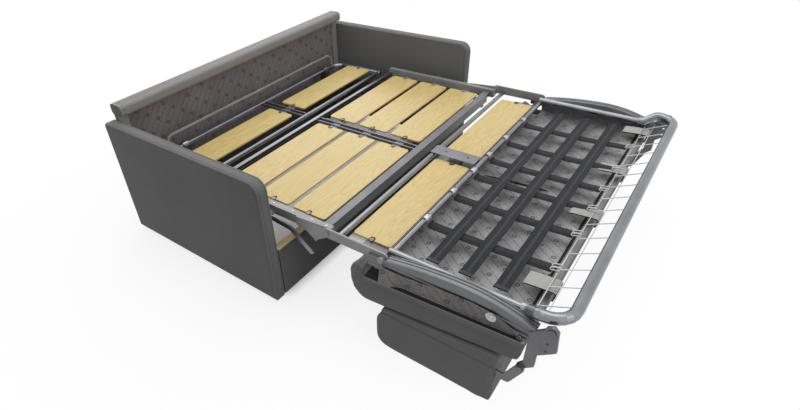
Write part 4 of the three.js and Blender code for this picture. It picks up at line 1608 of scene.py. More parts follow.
    def build(self) -> None:
        """Makes and reports the pad with its seams, the lips, the felt, the gussets, slots and studs."""
        pad = self._pad()
        self.tree = surface_tree(pad)
        seams = [self._seam(sign) for sign in SIDES.values()]
        for part in (pad, *seams):
            dress(part, self.finishes.cushion)
        whole = joined("seat_pad", [pad, *seams])
        report(whole, "foot_section", ["seat_cushion"])
        for word, sign in SIDES.items():
            lip = named(self._lip(sign), f"seat_lip_{word}")
            dress(lip, self.finishes.cushion)
            # The welt's upward faces take the paler cord cloth: painted highlight.
            add_finish(lip, self.finishes.painted_highlight_cord, lambda middle, normal: normal.z > 0.5)
            report(lip, "foot_section")
        self._felt()
        for word, sign in SIDES.items():
            self._gusset(word, sign)
            self._slot(word, sign)
            self._stud(word, sign)

    def _pad(self) -> Piece:
        """Shapes the slack pad and swells it.

        Returns:
            The pad.
        """
        first, last = self.pulled_rows
        drawn_in = self.slack * self.slack_share
        slack_rows = []
        for i, (y, low, high) in enumerate(self.rows):
            inwards = -self.slack if i < first else self.slack if i >= len(self.rows) - last else 0
            slack_rows.append((y + inwards, low + drawn_in, high - drawn_in))
        edge = self.half_width - self.slack
        pad = profiled_pad("pad", edge, slack_rows)
        round_edges(pad, lambda middle, run: abs(run.x) < 0.5 and abs(abs(middle.x) - edge) < NEAR,
                    self.side_round, 2)
        leave_edit()
        self.padding.swell(pad, self._give)
        self._gather(pad)
        return pad

    def _give(self, place: Vector) -> float:
        """How far a place may swell: the felt holds the upper face, and seams hold the sides.

        Args:
            place: the place on the slack pad.

        Returns:
            The share of the cap.
        """
        if place.z > self._top_at(place.y) - self.felt_band and place.y < self.step_y:
            return self.felt_give_share
        return self.side_give_share if abs(place.x) > self.half_width - self.side_band else 1.0

    def _gather(self, pad: Piece) -> None:
        """Gathers the cloth round the nose's upper corners.

        Args:
            pad: the swollen pad.
        """
        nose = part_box("seat_cushion")[1].y
        normals = [v.normal.copy() for v in pad.data.vertices]
        for vertex, normal in zip(pad.data.vertices, normals):
            x, y, z = vertex.co
            near_nose = math.exp(-(((y - nose + self.gather_nose) / self.gather_nose) ** 2))
            near_side = math.exp(-(((self.half_width - abs(x)) / self.gather_side) ** 2))
            high_up = 1 / (1 + math.exp(-(z - self.gather_height) / self.gather_fade))
            fold = waved(self.gather_waves, y, z, abs(x))
            vertex.co += normal * (self.gather * near_nose * near_side * high_up * fold)

    def _seam(self, sign: int) -> Piece:
        """Lays the seam round one side panel.

        Args:
            sign: the side.

        Returns:
            The seam.
        """
        x = sign * (self.half_width - self.seam_inset)
        corners = outline(self.rows, x, 0)
        points = pulled_onto(self.tree, walk(corners, self.seam_step, closed=True), 0)
        return smooth_line("seam", points, self.seam_radius, closed=True)

    def _lip_top(self, y: float) -> float:
        """The height of the side panel's free upper edge."""
        share = (self.step_y - y) / (self.step_y - self._before_foot(0))
        return self._top_at(y) + self.lip_rise[0] + (self.lip_rise[1] - self.lip_rise[0]) * share

    def _lip(self, sign: int) -> Piece:
        """Shapes the side panel's upper edge, which stands free above the felt, with its welt.

        Args:
            sign: the side.

        Returns:
            The lip.
        """
        outer = sign * (self.half_width + self.lip_out)
        inner = sign * (self.half_width - self.lip_thickness)
        (out_in, out_down), (in_out, in_down) = self.welt_outer, self.welt_inner
        rings = []
        for y in evenly(self.step_y + self.felt_front, self._before_foot(self.felt_foot), self.lip_stations):
            base, top = self._top_at(y) - self.lip_base, self._lip_top(y)
            rings.append([(outer, y, base), (outer, y, top - self.welt_shoulder),
                          (outer - sign * out_in, y, top - out_down), ((outer + inner) / 2, y, top),
                          (inner + sign * in_out, y, top - in_down), (inner, y, base)])
        return lofted(f"lip_{sign}", rings)

    def _slot_share(self, y: float) -> float:
        """How open the side slot is at a place along it, from 0 to 1."""
        from_end = max(0.0, min(self.slot_start - y, y - self.slot_end))
        return min(1.0, from_end / self.slot_taper) ** 0.5

    def _felt_edge(self, y: float) -> float:
        """Half the felt's width on the pad's upper face."""
        return self.half_width - self.lip_thickness - self.felt_gap - self.slot_width * self._slot_share(y)

    def _above(self, x: float, y: float, lift: float, sink: float = 0.0) -> float:
        """A height over the pad's upper face, which may dip below its drawn line by a sink at most."""
        return max(height_on(self.tree, x, y, self._top_at(y)), self._top_at(y) - sink) + lift

    def _felt(self) -> None:
        """Lays the printed felt on the pad, with its seams and the strips at its foot edge."""
        front, rear = self.step_y + self.felt_front, self._before_foot(self.felt_foot)
        felt = sheet_grid("seat_felt", 110, 76)
        for vertex in felt.data.vertices:
            y = front + (rear - front) * vertex.co.y
            x = self._felt_edge(y) * (2 * vertex.co.x - 1)
            height = self._above(x, y, self.felt_lift, self.felt_gap)
            vertex.co = (x, y, height + self.felt_wave * slackness(self.felt_waves, x, y))
        self._finish_felt(felt, self.finishes.seat_lining,
                          ["seat_lining"])
        self._slit()
        # The border takes the paler roll cloth: painted light against the shade on it.
        self._border("felt_border", self.finishes.roll, self.border)
        self._border("felt_binding", self.finishes.black_cloth_and_painted_shade, self.binding)

    def _border(self, name: str, material: Material, reach: Couple) -> None:
        """Lays a strip of cloth along the felt's foot edge.

        Args:
            name: the strip's name.
            material: its finish.
            reach: how far before the felt's edge it starts and ends.
        """
        edge = self._before_foot(self.felt_foot)
        start, end = reach
        half = self._felt_edge(edge) - self.border_inset
        lines = [[(x, y, self._above(x, y, self.over_felt)) for y in evenly(edge + start, edge + end, 4)]
                 for x in evenly(-half, half, 70)]
        self._finish_felt(draped(name, lines), material)

    def _finish_felt(self, felt: Piece, material: Material,
                     replaced: Sequence[str] = ()) -> None:
        """Gives a felt sheet its thickness and finish, and reports it.

        Args:
            felt: the sheet's skin.
            material: its finish.
            replaced: the CAD nodes that it stands for.
        """
        thicken(felt, self.felt)
        dress(felt, material)
        report(felt, "foot_section", replaced)

    def _slit(self) -> None:
        """Sews the felt's two halves together with an open dark seam along the middle."""
        for i, (x, start, end) in enumerate(self.slits):
            lines = []
            for y in evenly(start, end, 40):
                share = (y - start) / (end - start)
                half = self.slit_half * max(0.0, math.sin(math.pi * share)) ** 0.5 + self.slit_end_half
                height = self._above(x, y, self.over_felt)
                drift = waved(self.slit_drift, share)
                lines.append([(x + drift - half, y, height), (x + drift, y, height + self.slit_crown),
                              (x + drift + half, y, height)])
            slit = draped(f"felt_seam_{i}", lines)
            self._finish_felt(slit, self.finishes.black_cloth_and_painted_shade)

    def _gusset(self, word: str, sign: int) -> None:
        """Stretches felt from the pad's edge up over the foot of the channel that carries the bed.

        Args:
            word: the side's word.
            sign: the side.
        """
        lines = []
        for y in evenly(self.step_y - self.hollow_behind_step, self._before_foot(self.felt_front), 60):
            foot = self._top_at(y) + self.gusset_lift
            top = max(foot + self.gusset_least, self._gusset_height(y))
            bulge = waved(self.gusset_creases, y, 1) + self.gusset_bulge
            x0 = self._felt_edge(y) - self.gusset_from_felt
            line = []
            for i in range(self.gusset_steps + 1):
                t = i / self.gusset_steps
                x = x0 + (self.gusset_x - x0) * t + bulge * math.sin(math.pi * t)
                line.append((sign * x, y, foot + (top - foot) * t))
            lines.append(line)
        gusset = draped(f"seat_gusset_{word}", lines)
        self._finish_felt(gusset, self.finishes.side_lining)

    def _gusset_height(self, y: float) -> float:
        """Finds the height of the gusset's upper edge at a place along it.

        Args:
            y: the place.

        Returns:
            The height.
        """
        for (y0, z0), (y1, z1) in zip(self.gusset_top, self.gusset_top[1:]):
            if y >= y1:
                return z0 + (z1 - z0) * min(1.0, max(0.0, (y0 - y) / (y0 - y1)))
        return self.gusset_top[-1][1]

    def _slot(self, word: str, sign: int) -> None:
        """Lays black sheets in the slot between felt and side panel, and in the hollow behind the nose:
        painted shade in these gaps.

        Args:
            word: the side's word.
            sign: the side.
        """
        inner = self.half_width - self.slot_width - self.slot_under_felt
        outer = self.half_width - self.lip_thickness - self.slot_from_lip
        middle = (inner + outer) / 2
        lines = []
        for y in evenly(self.slot_start - self.slot_overrun, self.slot_end + self.slot_overrun, 30):
            height = max(height_on(self.tree, sign * x, y, self._top_at(y)) for x in (inner, middle, outer))
            lines.append([(sign * x, y, height + self.slot_lift) for x in (inner, middle, outer)])
        slot = draped(f"seat_slot_painted_shade_{word}", lines)
        self._finish_felt(slot, self.finishes.black_cloth_and_painted_shade)
        inner -= self.hollow_under_felt
        lines = [[(sign * x, y, self._above(sign * x, y, self.over_felt)) for x in (inner, middle, outer)]
                 for y in evenly(self.step_y + self.felt_front, self.step_y - self.hollow_behind_step, 10)]
        hollow = draped(f"seat_hollow_painted_shade_{word}", lines)
        self._finish_felt(hollow, self.finishes.black_cloth_and_painted_shade)

    def _stud(self, word: str, sign: int) -> None:
        """Adds the steel stud that holds the felt, a domed disc with a hub.

        Args:
            word: the side's word.
            sign: the side.
        """
        x = sign * (self.gusset_x + self.stud_out)
        deselect()
        bpy.ops.mesh.primitive_cylinder_add(vertices=28, radius=self.stud_radius, depth=self.stud_thickness,
                                            location=(x, *self.stud_place), rotation=(0, math.pi / 2, 0))
        stud = named(bpy.context.active_object, f"felt_stud_{word}")
        settle(stud)
        select(stud, Pick.FACES, lambda middle, normal: sign * normal.x > 0.9)
        inset(*self.stud_insets)
        leave_edit()
        dress(stud, self.finishes.wire)
        report(stud, "foot_section")


def sheet_grid(name: str, across: int, lengthwise: int) -> Piece:
    """Makes a flat grid from 0 to 1 in X and Y, to be laid on something.

    Args:
        name: the piece's name.
        across: how many squares it has along X.
        lengthwise: how many it has along Y.

    Returns:
        The grid.
    """
    deselect()
    bpy.ops.mesh.primitive_grid_add(x_subdivisions=across, y_subdivisions=lengthwise, size=1,
                                    location=(0.5, 0.5, 0))
    grid = named(bpy.context.active_object, name)
    settle(grid)
    return grid


def skinned(name: str, rows: Sequence[Sequence[Place]], faces: Sequence[Sequence[int]]) -> Piece:
    """Makes a mesh.

    Args:
        name: the piece's name.
        rows: its points, row by row.
        faces: the numbers of each face's points.

    Returns:
        The piece.
    """
    mesh = bpy.data.meshes.new(name)
    mesh.from_pydata([Vector(p) for row in rows for p in row], [], faces)
    obj = bpy.data.objects.new(name, mesh)
    bpy.context.scene.collection.objects.link(obj)
    return obj


def lofted(name: str, rings: Sequence[Sequence[Place]]) -> Piece:
    """Makes a closed skin over rings of equal length, with a face at each end.

    Args:
        name: the piece's name.
        rings: the rings' points.

    Returns:
        The piece, with every face turned outwards.
    """
    size = len(rings[0])
    faces = []
    for i in range(len(rings) - 1):
        for k in range(size):
            after = (k + 1) % size
            faces.append((i * size + k, i * size + after, (i + 1) * size + after, (i + 1) * size + k))
    last = (len(rings) - 1) * size
    faces += [tuple(reversed(range(size))), tuple(last + k for k in range(size))]
    obj = skinned(name, rings, faces)
    select(obj, Pick.FACES, lambda middle, normal: True)
    bpy.ops.mesh.remove_doubles(threshold=1e-6)
    bpy.ops.mesh.normals_make_consistent(inside=False)
    leave_edit()
    return obj


def draped(name: str, lines: Sequence[Sequence[Place]]) -> Piece:
    """Makes an open skin over lines of equal length.

    Args:
        name: the piece's name.
        lines: the lines' points.

    Returns:
        The skin.
    """
    size = len(lines[0])
    faces = [(i * size + k, i * size + k + 1, (i + 1) * size + k + 1, (i + 1) * size + k)
             for i in range(len(lines) - 1) for k in range(size - 1)]
    return skinned(name, lines, faces)


@dataclass
class BackrestPad:
    """The backrest cushion, which hangs below the foot of the bed and rests on the floor, and its crown."""

    finishes: Finishes
    padding: Padding = Padding(voxel=0.012, cap=0.006)
    fill_share: float = 0.8
    slack: float = 0.004
    bottom_slack: float = 0.003
    rounds: Couple = (0.060, 0.026)
    slack_rounds: Couple = (0.056, 0.022)
    side_round: float = 0.005
    held_share: float = 0.3
    floor_band: float = 0.03
    side_band: float = 0.02
    floor_gap: float = 0.0006
    crease: float = 0.0026
    crease_end: float = 0.10
    crease_side: float = 0.12
    crease_waves: tuple[tuple[float, ...], ...] = ((1.0, 105, 48, 9),)
    crease_cross: tuple[tuple[float, ...], ...] = ((1.0, 60, 0.7),)
    seam_radius: float = 0.0012
    seam_inset: float = 0.006
    seam_rise: float = 0.002
    seam_step: float = 0.012
    seam_lift_share: float = 0.3
    seam_floor_gap: float = 0.0003
    crown_padding: Padding = Padding(voxel=0.009, cap=0.003)
    crown_fill_share: float = 0.5
    crown_give_share: float = 0.6
    crown_inset: float = 0.0035
    crown_round: float = 0.004
    crown_round_from: float = 0.001
    crown_clear: float = 0.0065
    crown_sink: float = 0.004
    crown_least: float = 0.003
    crown_end_drop: float = 0.012
    crown_behind: tuple[float, ...] = (0.028, 0.10, 0.20, 0.30, 0.40)
    crown_before: tuple[float, ...] = (0.020, 0.004)
    crown_held: float = 0.004
    crown_floor: float = 0.002
    seat_start: Couple = (-0.270, 0.190)
    seat_rise: float = 0.068
    seat_run: float = 0.654
    low: Vector = field(init=False)
    high: Vector = field(init=False)

    def __post_init__(self) -> None:
        """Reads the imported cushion's corners."""
        self.low, self.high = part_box("backrest_cushion")

    def build(self) -> None:
        """Makes and reports the cushion with its seams, then the crown."""
        low, high = self.low, self.high
        rows = rounded_rows(high.y, low.y, low.z, high.z, *self.rounds)
        slack_rows = rounded_rows(high.y - self.slack, low.y + self.slack, low.z + self.bottom_slack,
                                  high.z - self.slack, *self.slack_rounds)
        half = len(slack_rows) // 2
        slack_rows.insert(half, tuple((a + b) / 2 for a, b in zip(slack_rows[half - 1], slack_rows[half])))
        pad = profiled_pad("backrest", high.x - self.slack, slack_rows)
        round_edges(pad, lambda middle, run: abs(run.x) < 0.5
                    and abs(abs(middle.x) - high.x + self.slack) < NEAR, self.side_round, 2)
        leave_edit()
        self.padding.swell(pad, lambda place: self.held_share if place.z < self.floor_band
                           or abs(place.x) > high.x - self.side_band else 1.0)
        for vertex in pad.data.vertices:
            vertex.co.z = max(vertex.co.z, self.floor_gap)
        self._crease(pad)
        tree = surface_tree(pad)
        reach = high.x - self.seam_inset
        seams = [self._seam(tree, rows, sign * reach) for sign in SIDES.values()]
        for part in (pad, *seams):
            dress(part, self.finishes.cushion)
        whole = joined("backrest_pad", [pad, *seams])
        report(whole, "backrest", ["backrest_cushion"])
        self._crown()

    def _crown(self) -> None:
        """Makes the soft crown on the cushion's upper face, which fills the wedge below the seat."""
        base = self.high.z - self.crown_sink
        slope = self.seat_rise / self.seat_run
        seat_y, seat_z = self.seat_start
        places = [self.high.y - depth for depth in self.crown_behind]
        places += [self.low.y + depth for depth in self.crown_before]
        rows = []
        for y in places:
            under_seat = seat_z + slope * (seat_y - y) - self.crown_clear
            drop = self.crown_end_drop if y == places[-1] else 0
            rows.append((y, base, max(base + self.crown_least, under_seat - drop)))
        crown = profiled_pad("backrest_crown", self.high.x - self.crown_inset, rows)
        round_edges(crown, lambda middle, run: middle.z > base + self.crown_round_from,
                    self.crown_round, 2)
        leave_edit()
        held_to = base + self.crown_held
        self.crown_padding.swell(crown, lambda place: 0.0 if place.z < held_to else self.crown_give_share)
        for vertex in crown.data.vertices:
            vertex.co.z = max(vertex.co.z, base - self.crown_floor)
        dress(crown, self.finishes.cushion)
        report(crown, "backrest")

    def _crease(self, pad: Piece) -> None:
        """Presses shallow creases into the cloth near the hung end's corners.

        Args:
            pad: the swollen pad.
        """
        normals = [v.normal.copy() for v in pad.data.vertices]
        for vertex, normal in zip(pad.data.vertices, normals):
            x, y, z = vertex.co
            from_end = y - self.low.y
            near_end = math.exp(-((from_end / self.crease_end) ** 2))
            near_side = math.exp(-(((self.high.x - abs(x)) / self.crease_side) ** 2))
            fold = waved(self.crease_waves, z, from_end, abs(x)) * waved(self.crease_cross, from_end, 1)
            vertex.co += normal * (self.crease * near_end * near_side * fold)

    def _seam(self, tree: BVHTree, rows: Sequence[Row], x: float) -> Piece:
        """Lays the piped seam round one side panel.

        Args:
            tree: the pad's surface.
            rows: the cushion's outline.
            x: where the seam runs.

        Returns:
            The seam.
        """
        corners = outline(rows, x, self.seam_rise)
        points = pulled_onto(tree, walk(corners, self.seam_step, closed=True),
                             self.seam_radius * self.seam_lift_share)
        for point in points:
            point.z = max(point.z, self.seam_radius + self.seam_floor_gap)
        return smooth_line("seam", points, self.seam_radius, closed=True)


# Webbing


@dataclass
class StrapStrip:
    """One strap: a strip along a path in the plane of its length and height, with its own UV map."""

    name: str
    path: list[Vector]
    width_axis: Vector
    width: float
    thickness: float = 0.0024
    arch: float = 0.0
    across: int = 8
    length: float = field(init=False, default=0.0)

    def build(self) -> Piece:
        """Makes the strip.

        Returns:
            The strap as a closed mesh with the UV map that its webbing reads.
        """
        lines = []
        lengths = [0.0]
        for a, b in zip(self.path, self.path[1:]):
            lengths.append(lengths[-1] + (b - a).length)
        for place in self.path:
            line = []
            for k in range(self.across + 1):
                t = k / self.across
                offset = (t - 0.5) * self.width
                drop = self.arch * (2 * t - 1) ** 2
                line.append(place + self.width_axis * offset - Vector((0, 0, drop)))
            lines.append(line)
        strip = draped(self.name, lines)
        chart = strip.data.uv_layers.new(name="strap")
        size = self.across + 1
        for polygon in strip.data.polygons:
            for loop in polygon.loop_indices:
                index = strip.data.loops[loop].vertex_index
                chart.data[loop].uv = ((index % size) / self.across, lengths[index // size])
        thicken(strip, self.thickness)
        self.length = lengths[-1]
        return strip


@dataclass
class Straps:
    """The elastic straps of the foot section: six along the bed and three across them, with their hooks.

    Each hook point is its place before or behind the turn, and its height over the hook's middle.
    """

    finishes: Finishes
    numbers: tuple[int, ...] = (1, 2, 3)
    sag: float = 0.0035
    rows: int = 46
    long_thickness: float = 0.0034
    long_arch: float = 0.0040
    long_start: Couple = (-0.010, 0.0035)
    long_end: Couple = (0.022, 0.3990)
    turn_up: tuple[Couple, ...] = ((0.004, 0.010), (0.003, 0.004))
    turn_over: Couple = (-0.003, 0.003)
    cross_lift: float = 0.0022
    cross_steps: int = 90
    cross_rest: float = 0.024
    cross_fade: float = 0.05
    cross_sag_share: float = 0.8
    hem_half: float = 0.0075
    hem_lift: float = 0.0042
    hem_thickness: float = 0.0026
    hem_overhang: float = 0.001
    hem_round: float = 0.001
    hem_band: float = 0.0005
    sleeve_gap: float = 0.0024
    sleeve_round: float = 0.0006
    sleeve_share: float = 0.42
    ring_gap: float = 0.003
    hook_radius: float = 0.0020
    hook_share: float = 0.22
    hook_half_share: float = 0.19
    wire_inset: float = 0.002
    hook_z: float = 0.4035
    hook_tip: Couple = (-0.0045, 0.0005)
    hook_rise: Couple = (0.002, 0.0042)
    hook_top: Couple = (0.004, 0.0045)
    hook_back: float = 0.026
    hook_corner: float = 0.003
    hook_drops: Couple = (-0.0005, -0.001)

    def build(self) -> None:
        """Makes and reports all the straps, then their hooks."""
        for node in self._long_nodes():
            self._long(node)
        for i in self.numbers:
            self._cross(f"cross_strap_{i}")
        self._hooks()

    def _long_nodes(self) -> list[str]:
        """The CAD nodes of the straps along the bed."""
        return [f"long_strap_{i}_{word}" for i in self.numbers for word in SIDES]

    def _places(self) -> list[Couple]:
        """The middle and width of each strap along the bed."""
        boxes = [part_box(node) for node in self._long_nodes()]
        return [((low.x + high.x) / 2, high.x - low.x) for low, high in boxes]

    def _long(self, node: str) -> None:
        """Makes one strap along the bed, from the strap tube to the wires, a little slack and rounded across.

        Args:
            node: the CAD node that it stands for.
        """
        low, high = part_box(node)
        x = (low.x + high.x) / 2
        start = Vector((x, high.y + self.long_start[0], low.z + self.long_start[1]))
        end = Vector((x, low.y + self.long_end[0], self.long_end[1]))
        path = [start + Vector((0, *turn)) for turn in self.turn_up]
        for i in range(self.rows + 1):
            t = i / self.rows
            place = start.lerp(end, t)
            place.z -= self.sag * math.sin(math.pi * t)
            path.append(place)
        path.append(end + Vector((0, *self.turn_over)))
        strap = StrapStrip(f"webbing_{node}", path, Vector((1, 0, 0)), high.x - low.x, self.long_thickness,
                           self.long_arch)
        made = strap.build()
        dress(made, self.finishes.long_web)
        report(made, "foot_section", [node])

    def _cross(self, node: str) -> None:
        """Makes one strap across the bed, lying on the long ones, its hemmed ends free.

        Args:
            node: the CAD node that it stands for.
        """
        low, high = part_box(node)
        y = (low.y + high.y) / 2
        z = (low.z + high.z) / 2 + self.cross_lift
        spots = [place for place, _ in self._places()]
        path = []
        for x in evenly(low.x, high.x, self.cross_steps):
            rest = min(abs(x - spot) for spot in spots)
            free = min(1.0, max(0.0, (rest - self.cross_rest) / self.cross_fade))
            path.append(Vector((x, y, z - self.sag * free * self.cross_sag_share)))
        strap = StrapStrip(f"webbing_{node}", path, Vector((0, 1, 0)), high.y - low.y, across=6)
        made = strap.build()
        hems = [self._hem(f"hem_{node}_{word}", end, (low.y, high.y), z)
                for word, end in (("left", low.x), ("right", high.x))]
        dress(made, self.finishes.cross_web)
        report(made, "foot_section", [node])

    def _hem(self, name: str, end: float, edges: Couple, z: float) -> Piece:
        """Makes the thick doubled hem at one end of a cross strap.

        Args:
            name: the hem's name.
            end: the strap end's X.
            edges: the Y of the strap's two edges.
            z: the strap's height.

        Returns:
            The hem.
        """
        middle = end + (self.hem_half if end < 0 else -self.hem_half)
        top = z - self.sag * self.cross_sag_share + self.hem_lift
        hem = block(name, (middle - self.hem_half, edges[0] - self.hem_overhang, top - self.hem_thickness),
                    (middle + self.hem_half, edges[1] + self.hem_overhang, top))
        round_edges(hem, lambda place, run: place.z > top - self.hem_band, self.hem_round, 2)
        leave_edit()
        dress(hem, self.finishes.plastic)
        return report(hem, "foot_section")

    def _hooks(self) -> None:
        """Makes sleeves and rings at the strap tube, and bent wire hooks at the first wire."""
        tube_low, tube_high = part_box("strap_tube")
        axis = ((tube_low.y + tube_high.y) / 2, (tube_low.z + tube_high.z) / 2)
        radius = (tube_high.z - tube_low.z) / 2
        reach = radius + self.ring_gap
        turns = [math.radians(20 * k - 150) for k in range(14)]
        sleeves, hooks, rings = [], [], []
        for x, width in self._places():
            half = width * self.sleeve_share
            sleeves.append(rod("sleeve", (x - half, *axis), (x + half, *axis), radius + self.sleeve_gap, 20,
                               self.sleeve_round))
            for side in SIDES.values():
                ring = [(x + side * half, axis[0] + reach * math.cos(t), axis[1] + reach * math.sin(t))
                        for t in turns]
                rings.append(smooth_line("ring", ring, self.hook_radius))
                hooks.append(self._hook(x + side * width * self.hook_share, width * self.hook_half_share))
        for name, parts, material, slot in (
                ("strap_rings", rings, self.finishes.steel, Slot.GREY_STEEL),
                ("strap_sleeves", sleeves, self.finishes.wire, Slot.SILVER_PAINT),
                ("strap_hooks", hooks, self.finishes.wire, Slot.BRIGHT_WIRE)):
            made = joined(name, parts)
            dress(made, material)
            report(made, "foot_section")

    def _hook(self, x: float, half: float) -> Piece:
        """Bends one hook from the strap's end over the first wire.

        Args:
            x: the hook's middle.
            half: half its width.

        Returns:
            The hook.
        """
        wire_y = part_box("wire_grid")[1].y - self.wire_inset
        over, back = wire_y + self.hook_tip[0], wire_y + self.hook_back
        leg = [(x - half, over, self.hook_tip[1]), (x - half, over + self.hook_rise[0], self.hook_rise[1]),
               (x - half, wire_y + self.hook_top[0], self.hook_top[1]),
               (x - half, back - self.hook_corner, self.hook_drops[0]),
               (x - half + self.hook_corner, back, self.hook_drops[1])]
        other = [(2 * x - place, y, rise) for place, y, rise in reversed(leg)]
        points = [(place, y, self.hook_z + rise) for place, y, rise in leg + other]
        return smooth_line("hook", points, self.hook_radius)


@dataclass
class Tabs:
    """Four stiff folded cloth tabs that hold the seat to the foot's wires."""

    finishes: Finishes
    places: tuple[float, ...] = (0.655, 0.262, -0.098, -0.548)
    width: float = 0.066
    thickness: float = 0.0050
    arch: float = 0.0016
    tab_painted_shade_from: float = -0.84
    path: tuple[Couple, ...] = (
        (-0.9285, 0.362), (-0.9325, 0.376), (-0.9350, 0.388), (-0.9335, 0.3950), (-0.9285, 0.3978),
        (-0.9200, 0.3985), (-0.9080, 0.3982), (-0.8920, 0.3972), (-0.8720, 0.3958), (-0.8520, 0.3942),
        (-0.8340, 0.3928), (-0.8315, 0.3905))

    def build(self) -> None:
        """Makes and reports the tabs."""
        for i, x in enumerate(self.places):
            points = [Vector((x, y, z)) for y, z in self.path]
            strip = StrapStrip(f"wire_tab_{i + 1}", points, Vector((1, 0, 0)), self.width, self.thickness,
                               self.arch)
            tab = strip.build()
            dress(tab, self.finishes.tab)
            # The tabs' rear folded ends and their faces turned to -X take the dark webbing cloth: painted
            # shade.
            add_finish(tab, self.finishes.cross_web, lambda middle, normal: (
                normal.y > 0.7 and middle.y > self.tab_painted_shade_from) or normal.x < -0.7)
            report(tab, "foot_section")


@dataclass
class PillowRail:
    """The bent rod that keeps the pillows on the bed."""

    finishes: Finishes
    radius: float = 0.0068
    reach: float = 0.640
    foot: Couple = (0.910, 0.3945)
    top: Couple = (0.925, 0.4565)
    bend: float = 0.038
    steps: int = 8
    leg_step: float = 0.02
    top_step: float = 0.05

    def build(self) -> None:
        """Makes and reports the rod."""
        foot, corner = Vector((-self.reach, *self.foot)), Vector((-self.reach, *self.top))
        rise = (corner - foot).normalized()
        start, end = corner - rise * self.bend, corner + Vector((self.bend, 0, 0))
        shares = [i / self.steps for i in range(self.steps + 1)]
        bend = [start.lerp(corner, share).lerp(corner.lerp(end, share), share) for share in shares]
        left = between(foot, start, self.leg_step) + bend
        right = [Vector((-p.x, p.y, p.z)) for p in reversed(left)]
        middle = between(left[-1], right[0], self.top_step)
        made = smooth_line("pillow_rod", left[:-1] + middle + right, self.radius)
        dress(made, self.finishes.warm_rod)
        report(made, "head_section", ["pillow_rail"])


@dataclass
class RailRivets:
    """Domed rivets on the upper edge of each side rail."""

    finishes: Finishes
    radius: float = 0.0046
    height: float = 0.0022
    round_off: float = 0.0009
    rows_y: tuple[float, ...] = (0.43, 0.33, 0.23, 0.14, 0.04, -0.06, -0.13)
    row_x: float = 0.7215
    lowest: float = 0.3

    def build(self) -> None:
        """Sets the rivets on the rails' own surface and reports one set a side."""
        for word, sign in SIDES.items():
            tree = surface_tree(bpy.data.objects[f"side_rail_{word}"])
            heads = []
            x = sign * self.row_x
            for y in self.rows_y:
                z = height_on(tree, x, y, 0)
                if z > self.lowest:
                    top = (x, y, z + self.height)
                    heads.append(rod("head", (x, y, z), top, self.radius, 14, self.round_off))
            if heads:
                rivets = joined(f"rail_rivets_{word}", heads)
                dress(rivets, self.finishes.wire)
                report(rivets, "middle_section")


@dataclass
class ChannelCaps:
    """The arched, ribbed upper half of the channel beside each side tube."""

    finishes: Finishes
    inner: float = 0.7270
    outer: float = 0.7668
    rib_lines: tuple[float, ...] = (0.7350, 0.7392, 0.7478, 0.7520)
    rib_depth: float = 0.0026
    edge: float = 0.0055
    stations: tuple[tuple[float, float, float], ...] = (
        (-0.424, 0.4146, 0.4206), (-0.470, 0.4146, 0.4285), (-0.520, 0.4146, 0.4365),
        (-0.570, 0.4146, 0.4425), (-0.620, 0.4146, 0.4470), (-0.670, 0.4146, 0.4500),
        (-0.720, 0.4146, 0.4510), (-0.765, 0.4146, 0.4485), (-0.805, 0.4132, 0.4430),
        (-0.845, 0.4092, 0.4345), (-0.880, 0.4056, 0.4245), (-0.912, 0.4024, 0.4145),
        (-0.940, 0.3996, 0.4060))

    def build(self) -> None:
        """Makes one cap, mirrors it, and reports both."""
        cap = self._cap()
        for word, made in (("right", cap), ("left", mirrored(cap))):
            named(made, f"channel_cap_{word}")
            dress(made, self.finishes.channel)
            report(made, "foot_section")

    def _cap(self) -> Piece:
        """Cuts ribs along a bar, then bends it station by station.

        Returns:
            The right-hand cap.
        """
        front, bottom, top = self.stations[0]
        rear = self.stations[-1][0]
        cap = block("channel_cap_right", (self.inner, rear, bottom), (self.outer, front, top))
        round_edges(cap, lambda middle, run: abs(run.y) > 0.9 and middle.z > top - NEAR, self.edge, 4)
        for x in self.rib_lines:
            cut_round(cap, (x, 0, 0), (1, 0, 0))
        for first, second in zip(self.rib_lines[::2], self.rib_lines[1::2]):
            select(cap, Pick.FACES, lambda middle, normal: normal.z > 0.9 and first < middle.x < second)
            bpy.ops.mesh.extrude_region_move(TRANSFORM_OT_translate={"value": (0, 0, -self.rib_depth)})
        for y, _, _ in self.stations[1:-1]:
            cut_round(cap, (0, y, 0), (0, 1, 0))
        for y, low, high in self.stations:
            shift_points(cap, lambda place, _: abs(place.y - y) < NEAR and place.z < bottom + NEAR,
                         (0, 0, low - bottom))
            shift_points(cap, lambda place, _: abs(place.y - y) < NEAR and place.z > bottom + NEAR,
                         (0, 0, high - top))
        leave_edit()
        return cap


# Finishes of the frame's own pieces


@dataclass
class FrameFinishes:
    """Dresses the nodes that the frame itself shows."""

    finishes: Finishes
    nodes: dict[str, Piece]

    def build(self) -> None:
        """Gives each shown node its finish."""
        for name, node in self.nodes.items():
            material = self._finish(name)
            node.data.materials.clear()
            node.data.materials.append(material)
            choose(node)
            LOG.info("%s is dressed in %s", name, material.name)

    def _finish(self, name: str) -> Material:
        """Chooses a node's finish by its name.

        Args:
            name: the node's name.

        Returns:
            The finish.
        """
        if name.startswith("base_plinth"):
            return self.finishes.plastic
        if name == "base_frame":
            return self.finishes.timber
        if "_slat" in name:
            return self.finishes.birch
        if name == "wire_grid":
            return self.finishes.wire
        if name.startswith(("arm_", "back_panel", "front_rail", "seat_cushion", "backrest_cushion")):
            return self.finishes.cover
        if name.startswith(("back_lining", "seat_lining")):
            return self.finishes.seat_lining
        if "strap_" in name and name != "strap_tube":
            return self.finishes.cross_web
        if name.startswith(("side_rail", "knee_bar")):
            return self.finishes.rail
        silver = ("head_tube", "rear_bar", "knee_tube", "strap_tube", "foot_tube", "side_tube",
                  "support_lever", "head_clamp")
        return self.finishes.silver if name.startswith(silver) else self.finishes.steel


# Studio


